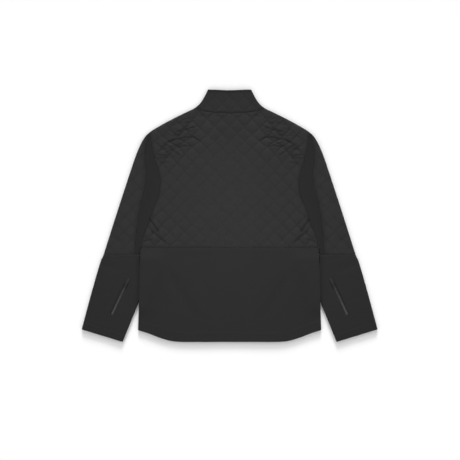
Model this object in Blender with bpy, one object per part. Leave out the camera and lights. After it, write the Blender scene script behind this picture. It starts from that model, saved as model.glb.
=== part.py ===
"""Quilted softshell jacket, zipped up and laid flat with its back upwards.

Metres, +Z up. +Y runs towards the collar, +X to the wearer's right. The origin is the centre of
the bounding box, on the surface that the jacket lies on. The tables are in millimetres:
"out" is the distance from the centre line and "up" is the distance towards the collar.
"""
import math

import bmesh
import bpy
from mathutils import Matrix, Vector
from mathutils.geometry import delaunay_2d_cdt

MM = 0.001

# ---- cloth ---------------------------------------------------------------------------------------
SOFTSHELL_WALL = 1.6
QUILTED_WALL = 2.0
COLLAR_WALL = 2.2
LAYER_TOP = 7.0             # outer face of the upper layer above the surface
HALF_HEIGHT = 0.5 * LAYER_TOP
HALF_GAP = 0.15             # pieces are twice this apart at a seam

# ---- spacing of points: distances from an edge are parts of HALF_HEIGHT --------------------------
EDGE_STEP = 30.0            # longest edge along a seam or a fold
ON_LINE = 0.03              # points this close to an edge lie on it
CLOSE = 1.2                 # least distance between two points of an edge
SHARED = 1.5                # run ends this close are one corner
ROUND_ROWS = (0.3, 1.05)    # rows of points beside a rounded edge
QUILT_CLEAR = 3.5           # least distance from a cushion's points to an edge
GRID_CLEAR = 0.45           # the same for other points, in parts of their spacing

# ---- quilting: two families of straight stitch lines at 45 degrees -------------------------------
QUILT_DIAGONAL = 45.9       # width of a diamond, point to point
QUILT_CENTRE_UP = -50.0     # height of one crossing on the centre line
QUILT_RISE = 2.8
QUILT_FULLNESS = 0.6        # below 1 gives a fuller cushion between the stitch lines
QUILT_EDGE_FADE = 11.0
DIAMOND_POINTS = [(0.0, 0.0), (0.5, 0.0), (-0.5, 0.0), (0.0, 0.5), (0.0, -0.5)]     # in half diagonals
COLLAR_QUILT_RISE = 1.3

# ---- outline of one half, collar corner to cuff: out, up -----------------------------------------
OUTER_EDGE = [
    (66.5, 386.2), (70.6, 377.1), (76.9, 364.9), (84.2, 352.7), (94.0, 340.4), (109.7, 328.2),
    (135.2, 316.0), (184.1, 291.5), (227.8, 267.0), (245.7, 254.7), (258.4, 242.5), (273.0, 218.0),
    (290.5, 175.2), (323.1, 77.3), (354.8, -20.7), (386.0, -118.6), (396.3, -143.1),
    (424.6, -241.0), (453.2, -347.8),
]
NECK_CORNER_UP = 331.7
SHOULDER_POINT_UP = 256.0
COLLAR_TOP_UP = 384.2
BACK_NECK = [(0.0, 313.8), (30.0, 315.0), (53.0, 317.0), (76.0, 319.8)]
FRONT_NECK_DROP = 78.0
FRONT_COLLAR_HEIGHT = 70.0

# ---- armhole, and the outer edge of the plain panel beside it: out, up ---------------------------
BACK_ARMHOLE = [
    (237.5, 210.0), (229.0, 174.0), (214.0, 119.0), (214.6, 70.0), (233.0, 21.0),
    (247.0, -21.0), (263.5, -62.0), (271.8, -97.5),
]
FRONT_ARMHOLE = [
    (226.0, 190.0), (216.0, 119.0), (219.0, 60.0), (238.0, 0.0), (260.0, -60.0), (271.8, -97.5),
]
RIDGE = [
    (256.5, 210.0), (259.0, 174.0), (254.0, 119.0), (263.5, 68.0), (275.0, 21.0), (281.0, -21.0),
    (286.0, -62.0), (288.0, -118.6),
]
RIDGE_TOP_UP = 253.2

# ---- seams between quilted and plain cloth -------------------------------------------------------
WAIST_SEAM_UP = -97.5
SLEEVE_SEAM_UP = -118.6

# ---- side, hem, and the sleeve's inner edge: out, up ---------------------------------------------
SIDE = [(271.8, -97.5), (275.0, -180.0), (277.5, -264.0), (280.5, -350.0)]
HEM = [
    (254.4, -358.0), (236.0, -364.9), (217.6, -372.1), (199.3, -378.1), (180.9, -383.0),
    (162.6, -385.4), (140.0, -386.2), (70.0, -386.2), (0.0, -386.2),
]
CUFF_INNER = (327.5, -386.2)
TUCK_LOW = (278.3, -265.0)      # where the sleeve comes out from under the side
TUCK_TIP = (239.0, -165.0)
TUCK_HIGH = (274.6, -147.0)

# ---- rise of the body over the tucked part of the sleeves ----------------------------------------
TUCK_RISE = 8.0
TUCK_MARGIN = 8.0
TUCK_SPREAD = 60.0
TUCK_RAMP_HIGH = 38.0
TUCK_RAMP_LOW = 44.0

# ---- rise of the collar over the front zip's slider ----------------------------------------------
MOUND_UP = 303.0
MOUND_RISE = 4.0
MOUND_SPREAD = 92.0

# ---- the dip beside each armhole, and the fold along its outer edge ------------------------------
VALLEY_DEPTH = 1.4
RIDGE_RISE = 0.9
RIDGE_SPREAD = 50.0
RIDGE_END_UP = -195.0
RIDGE_FADE = 80.0

# ---- soft folds in the upper layer: out and up of each end, half width, height -------------------
BODY_FOLDS = [
    (178.0, -178.0, 92.0, -318.0, 26.0, -1.3),
    (206.0, -196.0, 128.0, -326.0, 24.0, 0.7),
    (150.0, -150.0, 60.0, -262.0, 26.0, 0.6),
]
SLEEVE_FOLDS = [
    (396.0, -146.0, 330.0, -172.0, 15.0, -1.0),
    (372.0, -128.0, 310.0, -150.0, 14.0, 0.6),
    (330.0, 60.0, 292.0, 18.0, 16.0, -0.9),
]

# ---- zips ----------------------------------------------------------------------------------------
FRONT_SLOT = 3.3                # half the width between the front edges
CHAIN_HALF = 3.0
CHAIN_LOW = 0.3
CHAIN_HIGH = 3.0
TAPE_OUTER = 16.0
TAPE_LOW = 2.75
TAPE_HIGH = 3.25
FRONT_ZIP_LOW_UP = -381.0
FRONT_SLIDER_UP = 306.0
SLEEVE_ZIP_LOW = (360.0, -302.0)
SLEEVE_ZIP_HIGH = (318.0, -212.0)
SLEEVE_ZIP_HALF = 3.5
SLEEVE_TAPE_HALF = 10.0
SLEEVE_TAPE_DEPTH = (2.5, 1.95)     # its two faces below the top of the sleeve
SLEEVE_CHAIN_DEPTH = 0.1
SLOT_DEPTH = 2.6
FRONT_TAPE_ROWS = 8
SLIDER_PLATE = (0.3, 1.6)
SLIDER_BACK = 3.0               # from the top end of a sleeve zip to its slider's middle
RIM_TOP = 1.9
RIM_WIDTH = 0.7
EAR_TOP = 3.3
SLIDER_ROWS = [                 # along, half width, height of the rims
    (-5.2, 2.9, RIM_TOP), (-4.0, 3.9, RIM_TOP), (1.2, 3.9, RIM_TOP), (2.2, 4.1, EAR_TOP),
    (4.0, 4.1, EAR_TOP), (4.8, 3.9, RIM_TOP),
]
PULL_HALF = 2.5
PULL_AXIS = (3.1, 2.6)          # along the slider, and above the cloth
PULL_ROWS = [                   # along, half width, half thickness
    (-0.6, 1.8, 0.28), (-0.28, 1.8, 0.6), (0.28, 1.8, 0.6), (0.7, 1.8, 0.5), (3.0, 2.0, 0.5),
    (8.0, 2.875, 0.5), (19.0, 2.875, 0.5), (21.4, 2.0, 0.5), (22.0, 1.5, 0.3),
]
PULL_REST_TILT = 4.3            # degrees below level, so that the tip lies near the cloth
SLOT_CLEARANCE = 0.3


# ---- small geometry helpers, in millimetres ------------------------------------------------------
def smooth(t):
    t = min(max(t, 0.0), 1.0)
    return t * t * (3.0 - 2.0 * t)


def points(table):
    return [Vector(row) for row in table]


def through(table, step=EDGE_STEP):
    """A smooth line through the rows of a table, as points at most one step apart."""
    rows = points(table)
    ends = [2 * rows[0] - rows[1]] + rows + [2 * rows[-1] - rows[-2]]
    line = [rows[0]]
    for before, start, end, after in zip(ends, ends[1:], ends[2:], ends[3:]):
        count = max(1, math.ceil((end - start).length / step))
        for i in range(1, count + 1):
            t = i / count
            line.append(0.5 * (2 * start + (end - before) * t
                               + (2 * before - 5 * start + 4 * end - after) * t * t
                               + (3 * start - before - 3 * end + after) * t ** 3))
    return line


def at_height(line, up):
    """How far out a line is at a height; a line's heights run one way."""
    rows = sorted(line, key=lambda p: p.y)
    if up <= rows[0].y:
        return rows[0].x
    for low, high in zip(rows, rows[1:]):
        if up <= high.y:
            return low.x + (high.x - low.x) * (up - low.y) / max(high.y - low.y, 1e-9)
    return rows[-1].x


def stretch(line, high, low):
    """The part of a falling line between two heights, with no point close to its ends."""
    middle = [p for p in line if low + 3.0 < p.y < high - 3.0]
    return [Vector((at_height(line, high), high))] + middle + [Vector((at_height(line, low), low))]


def moved(line, out=0.0, up=0.0):
    return [p + Vector((out, up)) for p in line]


def beyond(line, out):
    """The points of a line that are farther out, with none close to the limit."""
    return [p for p in line if p.x > out + 4.0]


def ellipse(width, top, drop, count=9):
    """A quarter ellipse from (width, top) down to the centre line."""
    turns = [0.5 * math.pi * i / count for i in range(count + 1)]
    return [Vector((width * math.cos(a), top - drop * math.sin(a))) for a in turns]


def dip(width, top, drop, count=7):
    """A line from (width, top) down to the centre line, level at both ends."""
    parts = [i / count for i in range(count + 1)]
    return [Vector((width * (1.0 - t), top - drop * smooth(t))) for t in parts]


def nearest(place, line):
    """Distance to a line, and the direction from it to the cloth on its right-hand side."""
    best = (1e9, Vector((-1.0, 0.0)))
    for start, end in zip(line, line[1:]):
        along = end - start
        t = min(max((place - start).dot(along) / along.length_squared, 0.0), 1.0)
        distance = (place - (start + t * along)).length
        if distance < best[0] - 1e-6:
            best = (distance, Vector((along.y, -along.x)).normalized())
    return best


def inside(place, loop):
    hit = False
    for start, end in zip(loop, loop[1:] + loop[:1]):
        if (start.y > place.y) != (end.y > place.y):
            if place.x < start.x + (end.x - start.x) * (place.y - start.y) / (end.y - start.y):
                hit = not hit
    return hit


def quilt_numbers(place):
    """Counts of stitch lines crossed in the two families; a whole number is on a line."""
    climb = place.y - QUILT_CENTRE_UP
    return (place.x + climb) / QUILT_DIAGONAL, (place.x - climb) / QUILT_DIAGONAL


def quilt_swell(place):
    u, v = quilt_numbers(place)
    return abs(math.sin(math.pi * u) * math.sin(math.pi * v)) ** QUILT_FULLNESS


# ---- lines shared by several pieces --------------------------------------------------------------
OUTLINE = through(OUTER_EDGE)
SHOULDER_POINT = Vector((at_height(OUTLINE, SHOULDER_POINT_UP), SHOULDER_POINT_UP))
RIDGE_TOP = Vector((at_height(OUTLINE, RIDGE_TOP_UP), RIDGE_TOP_UP))
NECK_CORNER = Vector((at_height(OUTLINE, NECK_CORNER_UP), NECK_CORNER_UP))
BACK_ARM_LINE = through([SHOULDER_POINT] + BACK_ARMHOLE)
FRONT_ARM_LINE = through([SHOULDER_POINT] + FRONT_ARMHOLE)
RIDGE_LINE = through([RIDGE_TOP] + RIDGE)
BACK_NECK_LINE = through(BACK_NECK + [tuple(NECK_CORNER)])
FRONT_NECK_LINE = ellipse(NECK_CORNER.x, NECK_CORNER_UP, FRONT_NECK_DROP)
COLLAR_FRONT_TOP = dip(OUTER_EDGE[0][0], OUTER_EDGE[0][1], FRONT_COLLAR_HEIGHT)
SIDE_LINE = through(SIDE)
HEM_LINE = [Vector(SIDE[-1])] + through(HEM)
INNER_LINE = points([CUFF_INNER, TUCK_LOW, TUCK_TIP, TUCK_HIGH]) + moved(
    stretch(SIDE_LINE, WAIST_SEAM_UP, TUCK_HIGH[1] + 12.0)[::-1], out=0.6)


# ---- heights -------------------------------------------------------------------------------------
def folds(place, table):
    height = 0.0
    for out0, up0, out1, up1, half_width, rise in table:
        start, end = Vector((out0, up0)), Vector((out1, up1))
        along = end - start
        t = (place - start).dot(along) / along.length_squared
        away = (place - (start + min(max(t, 0.0), 1.0) * along)).length
        height += rise * (1.0 - smooth(away / half_width)) * smooth(4.0 * min(t + 0.1, 1.1 - t))
    return height


def tuck_rise(place):
    """The side of the body lies on the inner part of the sleeve between two heights."""
    high = smooth((WAIST_SEAM_UP - place.y) / TUCK_RAMP_HIGH)
    low = smooth((place.y - (TUCK_LOW[1] - TUCK_MARGIN - TUCK_RAMP_LOW)) / TUCK_RAMP_LOW)
    tip = at_height(points([TUCK_LOW, TUCK_TIP]), place.y)
    across = smooth(1.0 - (tip - TUCK_MARGIN - place.x) / TUCK_SPREAD)
    return TUCK_RISE * high * low * across


def mound_rise(place):
    return MOUND_RISE * (1.0 - smooth((place - Vector((0.0, MOUND_UP))).length / MOUND_SPREAD))


def level(place):
    return 0.0


def body_rise(place):
    return tuck_rise(place) + mound_rise(place)


def back_crown(place):
    return folds(place, BODY_FOLDS)


def sleeve_crown(place):
    """A dip from the armhole seam to the ridge, then a slope down to the sleeve's outer edge."""
    seam = at_height(BACK_ARM_LINE + SIDE_LINE[1:], place.y)
    ridge = at_height(RIDGE_LINE, place.y)
    across = (place.x - seam) / max(ridge - seam, 1.0)
    fade = smooth((place.y - RIDGE_END_UP) / RIDGE_FADE)
    if across < 1.0:
        across = max(across, 0.0)
        return fade * (RIDGE_RISE * across ** 2 - VALLEY_DEPTH * math.sin(math.pi * across))
    away = (place.x - ridge) / RIDGE_SPREAD
    return fade * RIDGE_RISE * (1.0 - smooth(away)) + folds(place, SLEEVE_FOLDS)


# ---- one layer of cloth --------------------------------------------------------------------------
# A layer is bounded by runs of points. The kind of a run says how the cloth ends there:
# "seam" or "free" has a plain end, "curl" rounds over to meet the other layer with a gap,
# "fold" rounds over into the other layer of the same piece, "middle" is the centre line.
RANK = {"fold": 4, "middle": 3, "curl": 2, "seam": 1, "free": 0}
PLAIN_ENDS = ("seam", "free", "middle")


def joined(runs):
    """One closed loop of (point, kind of the edge that follows it)."""
    loop = []
    for i, (kind, line) in enumerate(runs):
        previous = runs[i - 1]
        first = line[0]
        if (previous[1][-1] - first).length < SHARED and RANK[previous[0]] > RANK[kind]:
            first = previous[1][-1]
        following = runs[(i + 1) % len(runs)][1][0]
        last_is_shared = (line[-1] - following).length < SHARED
        body = line[1:-1] if last_is_shared else line[1:]
        loop += [(p, kind) for p in [first] + body]
        if not last_is_shared:
            loop[-1] = (loop[-1][0], "seam")
    return loop


def divided(loop, radius):
    """The loop with points added at stitch lines, in long edges, and close to rounded edges."""
    result = []
    for i, (start, kind) in enumerate(loop):
        end, end_kind = loop[(i + 1) % len(loop)]
        before = loop[i - 1][1]
        length = (end - start).length
        marks = {j / math.ceil(length / EDGE_STEP) for j in range(1, math.ceil(length / EDGE_STEP))}
        crossings = set()
        for first, last in zip(quilt_numbers(start), quilt_numbers(end)):
            low, high = sorted((first, last))
            for n in range(math.ceil(low + 1e-6), math.floor(high - 1e-6) + 1):
                crossings.add((n - first) / (last - first))
        if kind in PLAIN_ENDS:
            near = {part * radius / length for part in ROUND_ROWS}
            if before in ("curl", "fold"):
                marks |= near
            if end_kind in ("curl", "fold"):
                marks |= {1.0 - t for t in near}
        taken = [0.0, 1.0]
        for t in sorted(crossings) + sorted(marks):
            if 0.0 < t < 1.0 and min(abs(t - other) for other in taken) * length > CLOSE:
                taken.append(t)
        taken.remove(1.0)
        result += [(start.lerp(end, t), kind) for t in sorted(taken)]
    return result


def triangles(loop, extra, lines=()):
    """Triangles inside a loop, through the extra points and along the lines."""
    count = len(loop)
    coords = list(loop) + list(extra)
    edges = []
    for start, end in lines:
        edges.append((len(coords), len(coords) + 1))
        coords += [start, end]
    found = delaunay_2d_cdt(coords, edges, [list(range(count))], 1, 1e-3)
    places, faces, origins, face_origins = found[0], found[2], found[3], found[5]
    kept = [face for face, origin in zip(faces, face_origins) if origin]
    border = {}
    for index, sources in enumerate(origins):
        for source in sources:
            if source < count:
                border[source] = index
    return places, kept, border


def apart(candidates, loop, distance):
    """The candidates inside a loop and clear of its edges."""
    closed = loop + loop[:1]
    return [p for p in candidates if inside(p, loop) and nearest(p, closed)[0] > distance]


def grid(loop, step):
    """Points in staggered rows over the loop's box."""
    outs, ups = [p.x for p in loop], [p.y for p in loop]
    rise = step * math.sqrt(0.75)
    rows = range(math.floor(min(ups) / rise), math.ceil(max(ups) / rise) + 1)
    columns = range(math.floor(min(outs) / step), math.ceil(max(outs) / step) + 1)
    return [Vector(((c + 0.5 * (r % 2)) * step, r * rise)) for r in rows for c in columns]


def quilt_lines(loop):
    """Both families of stitch lines, run past the loop's box."""
    outs, ups = [p.x for p in loop], [p.y for p in loop]
    low, high = min(ups) - 5.0, max(ups) + 5.0
    farthest = max(abs(low - QUILT_CENTRE_UP), abs(high - QUILT_CENTRE_UP))
    count = math.ceil((max(outs) + farthest) / QUILT_DIAGONAL)
    lines = []
    for n in range(-count, count + 1):
        reach = n * QUILT_DIAGONAL
        for lean in (-1.0, 1.0):
            ends = [Vector((reach + lean * (up - QUILT_CENTRE_UP), up)) for up in (low, high)]
            if max(ends[0].x, ends[1].x) > min(outs) and min(ends[0].x, ends[1].x) < max(outs):
                lines.append(ends)
    return lines


def clipped(lines, loop):
    """The runs of the lines inside a loop, ending on its points or short of its edges."""
    runs = []
    for start, end in lines:
        along = end - start
        cuts = []
        for a, b in zip(loop, loop[1:] + loop[:1]):
            cross = along.cross(b - a)
            if abs(cross) < 1e-9:
                continue
            t = (a - start).cross(b - a) / cross
            u = (a - start).cross(along) / cross
            if -1e-6 <= u <= 1.0 + 1e-6:
                cuts.append(t)
        cuts = [t for i, t in enumerate(sorted(cuts)) if i == 0 or t - sorted(cuts)[i - 1] > 1e-7]
        for low, high in zip(cuts, cuts[1:]):
            length = (high - low) * along.length
            if length < 3 * CLOSE or not inside(start + 0.5 * (low + high) * along, loop):
                continue
            ends = []
            for t, way in ((low, 1.0), (high, -1.0)):
                place = start + t * along
                corner = min(loop, key=lambda p: (p - place).length)
                on_point = (corner - place).length < ON_LINE
                ends.append(corner if on_point else place + way * CLOSE * along.normalized())
            runs.append(ends)
    return runs


def quilt_points(loop):
    """The middle of each diamond over the loop's box, and four points round it."""
    half = QUILT_DIAGONAL / 2
    rows = [(p.y - QUILT_CENTRE_UP) / half for p in loop]
    last_column = math.ceil(max(p.x for p in loop) / half)
    result = []
    for row in range(math.floor(min(rows)), math.ceil(max(rows))):
        for column in range(last_column + 1):
            if (row + column) % 2:
                middle = Vector((column * half, QUILT_CENTRE_UP + row * half))
                result += [middle + half * Vector(p) for p in DIAMOND_POINTS]
    return result


def layer(bm, runs, upper, wall, rise, step, crown=level, swell=0.0, toward=()):
    """Adds one layer of cloth to bm, in millimetres, open along a fold and the centre line.

    Both layers of a piece share its rise; a crown lifts one layer and dies out on rounded edges.
    The inner points at a fold's two ends move toward two given points, the same in both layers.
    """
    fold_ends = {}
    for kind, line in runs:
        if kind == "fold":
            fold_ends = {tuple(line[0]): toward[0], tuple(line[-1]): toward[1]}
    rounds = [(line, 0.0) for kind, line in runs if kind == "fold"]
    rounds += [(line, HALF_GAP) for kind, line in runs if kind == "curl"]
    loop = joined(runs)
    if sum(a[0].cross(b[0]) for a, b in zip(loop, loop[1:] + loop[:1])) < 0:
        kinds = [kind for place, kind in loop]
        loop = [(loop[i][0], kinds[i - 1]) for i in range(len(loop) - 1, -1, -1)]
    loop = divided(loop, HALF_HEIGHT)
    border = [place for place, kind in loop]
    sign = 1.0 if upper else -1.0

    def edge(place):
        """Distance to the nearest rounded edge, the way in from it, and its gap to the other layer."""
        found = [(*nearest(place, line), gap) for line, gap in rounds]
        return min(found, default=(1e9, None, 0.0), key=lambda item: item[0])

    def rounded(place, depth, seam=None):
        """A point of the outer face, or one at a depth under it, and its height.

        Near a seam the inner point moves along the seam, so that it stays on its own side.
        """
        distance, inward, gap = edge(place)
        distance = distance if distance > ON_LINE else 0.0
        radius = HALF_HEIGHT - gap
        turn = math.acos(max(0.0, radius - distance) / radius) if distance < radius else 0.5 * math.pi
        if depth and distance < radius:
            way = inward
            if seam is not None:
                slant = seam.dot(inward)
                way = seam / (math.copysign(max(abs(slant), 0.4), slant))
            place = place + depth * math.cos(turn) * way
        height = HALF_HEIGHT + sign * (gap + (radius - depth) * math.sin(turn))
        return place, height + rise(place) + math.sin(turn) * crown(place)

    ring = []
    for i, (place, kind) in enumerate(loop):
        if {"curl", "fold"} & {kind, loop[i - 1][1]}:
            inward = edge(place)[1]
            ring += [place + part * HALF_HEIGHT * inward for part in ROUND_ROWS]
    ring = apart(ring, border, 0.2 * HALF_HEIGHT)
    clear = GRID_CLEAR * step
    if swell:
        extra = ring + apart(quilt_points(border), border, QUILT_CLEAR)
        lines = clipped(quilt_lines(border), border)
    else:
        extra = ring + apart(grid(border, step), border, clear)
        lines = ()
    places, faces, ends = triangles(border, extra, lines)
    closed = border + border[:1]
    on_border = set(ends.values())
    for source, index in ends.items():
        places[index] = border[source]
    outer = {}
    for index in {i for face in faces for i in face}:
        place, height = rounded(places[index], 0.0)
        if swell and index not in on_border:
            fade = smooth(nearest(place, closed)[0] / QUILT_EDGE_FADE)
            height += sign * swell * fade * quilt_swell(place)
        outer[index] = bm.verts.new((place.x, place.y, height))
    for face in faces:
        bm.faces.new([outer[i] for i in face])

    seams = []
    for i, (place, kind) in enumerate(loop):
        if tuple(place) in fold_ends:
            seams.append((fold_ends[tuple(place)] - place).normalized())
        elif kind in PLAIN_ENDS:
            seams.append((border[(i + 1) % len(border)] - place).normalized())
        elif loop[i - 1][1] in PLAIN_ENDS:
            seams.append((place - border[i - 1]).normalized())
        else:
            seams.append(None)
    inner_border = [rounded(place, wall, seam)[0] for place, seam in zip(border, seams)]
    inner_ring = [p for p in ring if edge(p)[0] > 0.9 * HALF_HEIGHT]
    inner_ring = apart(inner_ring, inner_border, 0.2 * HALF_HEIGHT)
    coarse = [p for p in extra if p not in ring] if not swell else grid(border, step)
    inner_extra = inner_ring + apart(coarse, border, clear)
    inner_places, inner_faces, inner_ends = triangles(inner_border, inner_extra)
    inner = {}
    for index in {i for face in inner_faces for i in face}:
        inner[index] = bm.verts.new((*inner_places[index], 0.0))
    for source, index in inner_ends.items():
        inner[index].co = (*inner_border[source], rounded(border[source], wall)[1])
    for index, vert in inner.items():
        if index not in set(inner_ends.values()):
            place = Vector(vert.co.xy)
            vert.co.z = HALF_HEIGHT + sign * (HALF_HEIGHT - wall) + rise(place) + crown(place)
    for face in inner_faces:
        bm.faces.new([inner[i] for i in reversed(face)])

    for i, (place, kind) in enumerate(loop):
        if kind in ("fold", "middle"):
            continue
        j = (i + 1) % len(loop)
        bm.faces.new([outer[ends[i]], outer[ends[j]], inner[inner_ends[j]], inner[inner_ends[i]]])


# ---- objects -------------------------------------------------------------------------------------
def cleared_scene():
    for item in list(bpy.data.objects):
        bpy.data.objects.remove(item, do_unlink=True)


def collection(name):
    group = bpy.data.collections.new(name)
    bpy.context.scene.collection.children.link(group)
    return group


def material(name, colour, roughness, metallic=0.0):
    made = bpy.data.materials.new(name)
    made.use_nodes = True
    shader = made.node_tree.nodes["Principled BSDF"]
    shader.inputs["Base Color"].default_value = (*colour, 1.0)
    shader.inputs["Roughness"].default_value = roughness
    shader.inputs["Metallic"].default_value = metallic
    made.diffuse_color = (*colour, 1.0)
    return made


def placed(name, bm, finish, group, mirrored=False, origin=None):
    """An object from a mesh in millimetres; a mirrored one is for the wearer's left."""
    copy = bm.copy()
    bmesh.ops.scale(copy, vec=(-MM if mirrored else MM, MM, MM), verts=copy.verts)
    bmesh.ops.recalc_face_normals(copy, faces=copy.faces)
    if copy.calc_volume(signed=True) < 0:
        bmesh.ops.reverse_faces(copy, faces=copy.faces)
    if origin is not None:
        bmesh.ops.translate(copy, vec=-origin, verts=copy.verts)
    mesh = bpy.data.meshes.new(name)
    copy.to_mesh(mesh)
    copy.free()
    mesh.materials.append(finish)
    mesh.shade_smooth()
    mesh.set_sharp_from_angle(angle=math.radians(40.0))
    item = bpy.data.objects.new(name, mesh)
    if origin is not None:
        item.location = origin
    group.objects.link(item)
    return item


def pair(name, bm, finish, group):
    """The same piece on the wearer's right and left."""
    return [placed(f"{name}_right", bm, finish, group),
            placed(f"{name}_left", bm, finish, group, mirrored=True)]


def whole(bm):
    """Mirrors a half that is open on the centre line."""
    for vert in bm.verts:
        if abs(vert.co.x) < 1e-3:
            vert.co.x = 0.0
    parts = bm.verts[:] + bm.edges[:] + bm.faces[:]
    twin = bmesh.ops.duplicate(bm, geom=parts)["geom"]
    bmesh.ops.scale(bm, vec=(-1, 1, 1), verts=[v for v in twin if isinstance(v, bmesh.types.BMVert)])
    bmesh.ops.remove_doubles(bm, verts=bm.verts, dist=1e-3)
    return bm


def merged(bm):
    """Joins the two layers of a folded piece along the fold."""
    bmesh.ops.remove_doubles(bm, verts=bm.verts, dist=1e-3)
    return bm


def block(half_width, low, high, bottom, top):
    """A box: half its width, its two ends along Y, and its two heights."""
    bm = bmesh.new()
    bmesh.ops.create_cube(bm, size=1.0)
    bmesh.ops.scale(bm, vec=(2 * half_width, high - low, top - bottom), verts=bm.verts)
    bmesh.ops.translate(bm, vec=(0, 0.5 * (low + high), 0.5 * (bottom + top)), verts=bm.verts)
    return bm


# ---- body ----------------------------------------------------------------------------------------
def back_quilted(finish, group):
    bm = bmesh.new()
    shoulder = stretch(OUTLINE, NECK_CORNER_UP - HALF_GAP, SHOULDER_POINT_UP + HALF_GAP)
    arm = moved(BACK_ARM_LINE, out=-HALF_GAP)
    arm[-1].y = WAIST_SEAM_UP + HALF_GAP
    waist = [arm[-1], Vector((0.0, WAIST_SEAM_UP + HALF_GAP))]
    neck = moved(BACK_NECK_LINE, up=-HALF_GAP)
    runs = [("seam", neck), ("curl", shoulder), ("seam", arm), ("seam", waist),
            ("middle", [waist[-1], neck[0]])]
    layer(bm, runs, True, QUILTED_WALL, body_rise, 36.0, back_crown, QUILT_RISE)
    placed("back_quilted", whole(bm), finish, group)


def back_lower(finish, group):
    bm = bmesh.new()
    side = stretch(SIDE_LINE, WAIST_SEAM_UP - HALF_GAP, SIDE[-1][1])
    waist = [Vector((0.0, WAIST_SEAM_UP - HALF_GAP)), side[0]]
    runs = [("seam", waist), ("curl", side), ("free", HEM_LINE), ("middle", [HEM_LINE[-1], waist[0]])]
    layer(bm, runs, True, SOFTSHELL_WALL, body_rise, 28.0, back_crown)
    placed("back_lower", whole(bm), finish, group)


def front_quilted(finish, group):
    bm = bmesh.new()
    shoulder = stretch(OUTLINE, NECK_CORNER_UP - HALF_GAP, SHOULDER_POINT_UP + HALF_GAP)
    arm = moved(FRONT_ARM_LINE, out=-HALF_GAP)
    arm[-1].y = WAIST_SEAM_UP + HALF_GAP
    neck = moved(FRONT_NECK_LINE, out=HALF_GAP, up=-HALF_GAP)
    neck = beyond(neck, FRONT_SLOT)[::-1]
    centre = [Vector((FRONT_SLOT, WAIST_SEAM_UP + HALF_GAP)),
              Vector((FRONT_SLOT, NECK_CORNER_UP - FRONT_NECK_DROP - HALF_GAP))]
    runs = [("seam", centre), ("seam", [centre[-1]] + neck), ("curl", shoulder), ("seam", arm),
            ("seam", [arm[-1], centre[0]])]
    layer(bm, runs, False, QUILTED_WALL, body_rise, 48.0)
    pair("front_quilted", bm, finish, group)


def front_lower(finish, group):
    bm = bmesh.new()
    side = stretch(SIDE_LINE, WAIST_SEAM_UP - HALF_GAP, SIDE[-1][1])
    hem = beyond(HEM_LINE, FRONT_SLOT) + [Vector((FRONT_SLOT, HEM[-1][1]))]
    top = Vector((FRONT_SLOT, WAIST_SEAM_UP - HALF_GAP))
    runs = [("seam", [top, side[0]]), ("curl", side), ("free", hem), ("seam", [hem[-1], top])]
    layer(bm, runs, False, SOFTSHELL_WALL, body_rise, 32.0)
    pair("front_lower", bm, finish, group)


def collar(finish, group):
    bm = bmesh.new()
    side = stretch(OUTLINE, OUTER_EDGE[0][1], NECK_CORNER_UP + HALF_GAP)
    neck = moved(BACK_NECK_LINE, up=HALF_GAP)
    top = [Vector((0.0, COLLAR_TOP_UP)), Vector((11.0, COLLAR_TOP_UP)), Vector((40.0, 385.6)), side[0]]
    runs = [("free", top), ("fold", side), ("seam", neck[::-1]), ("middle", [neck[0], top[0]])]
    toward = (top[-2], neck[-2])
    layer(bm, runs, True, COLLAR_WALL, body_rise, 26.0, swell=COLLAR_QUILT_RISE, toward=toward)
    front_neck = beyond(moved(FRONT_NECK_LINE, out=-HALF_GAP, up=HALF_GAP), FRONT_SLOT)
    front_neck.append(Vector((FRONT_SLOT, NECK_CORNER_UP - FRONT_NECK_DROP + HALF_GAP)))
    front_top = beyond(COLLAR_FRONT_TOP, FRONT_SLOT)
    front_top.append(Vector((FRONT_SLOT, OUTER_EDGE[0][1] - FRONT_COLLAR_HEIGHT)))
    runs = [("fold", side), ("seam", front_neck), ("seam", [front_neck[-1], front_top[-1]]),
            ("free", front_top[::-1])]
    layer(bm, runs, False, COLLAR_WALL, body_rise, 26.0, toward=toward)
    placed("collar", whole(merged(bm)), finish, group)


# ---- sleeves -------------------------------------------------------------------------------------
def underarm_panel(finish, group):
    bm = bmesh.new()
    top = stretch(OUTLINE, SHOULDER_POINT_UP - HALF_GAP, RIDGE_TOP_UP + HALF_GAP)
    ridge = moved(RIDGE_LINE, out=-HALF_GAP)
    ridge[-1].y = SLEEVE_SEAM_UP + HALF_GAP
    arm = moved(BACK_ARM_LINE, out=HALF_GAP)[::-1]
    inner = stretch(INNER_LINE, WAIST_SEAM_UP, SLEEVE_SEAM_UP + HALF_GAP)[::-1]
    runs = [("curl", top), ("seam", ridge), ("seam", [ridge[-1], inner[0]]), ("curl", inner),
            ("seam", arm)]
    layer(bm, runs, True, SOFTSHELL_WALL, level, 15.0, sleeve_crown)
    pair("underarm_panel", bm, finish, group)


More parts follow.
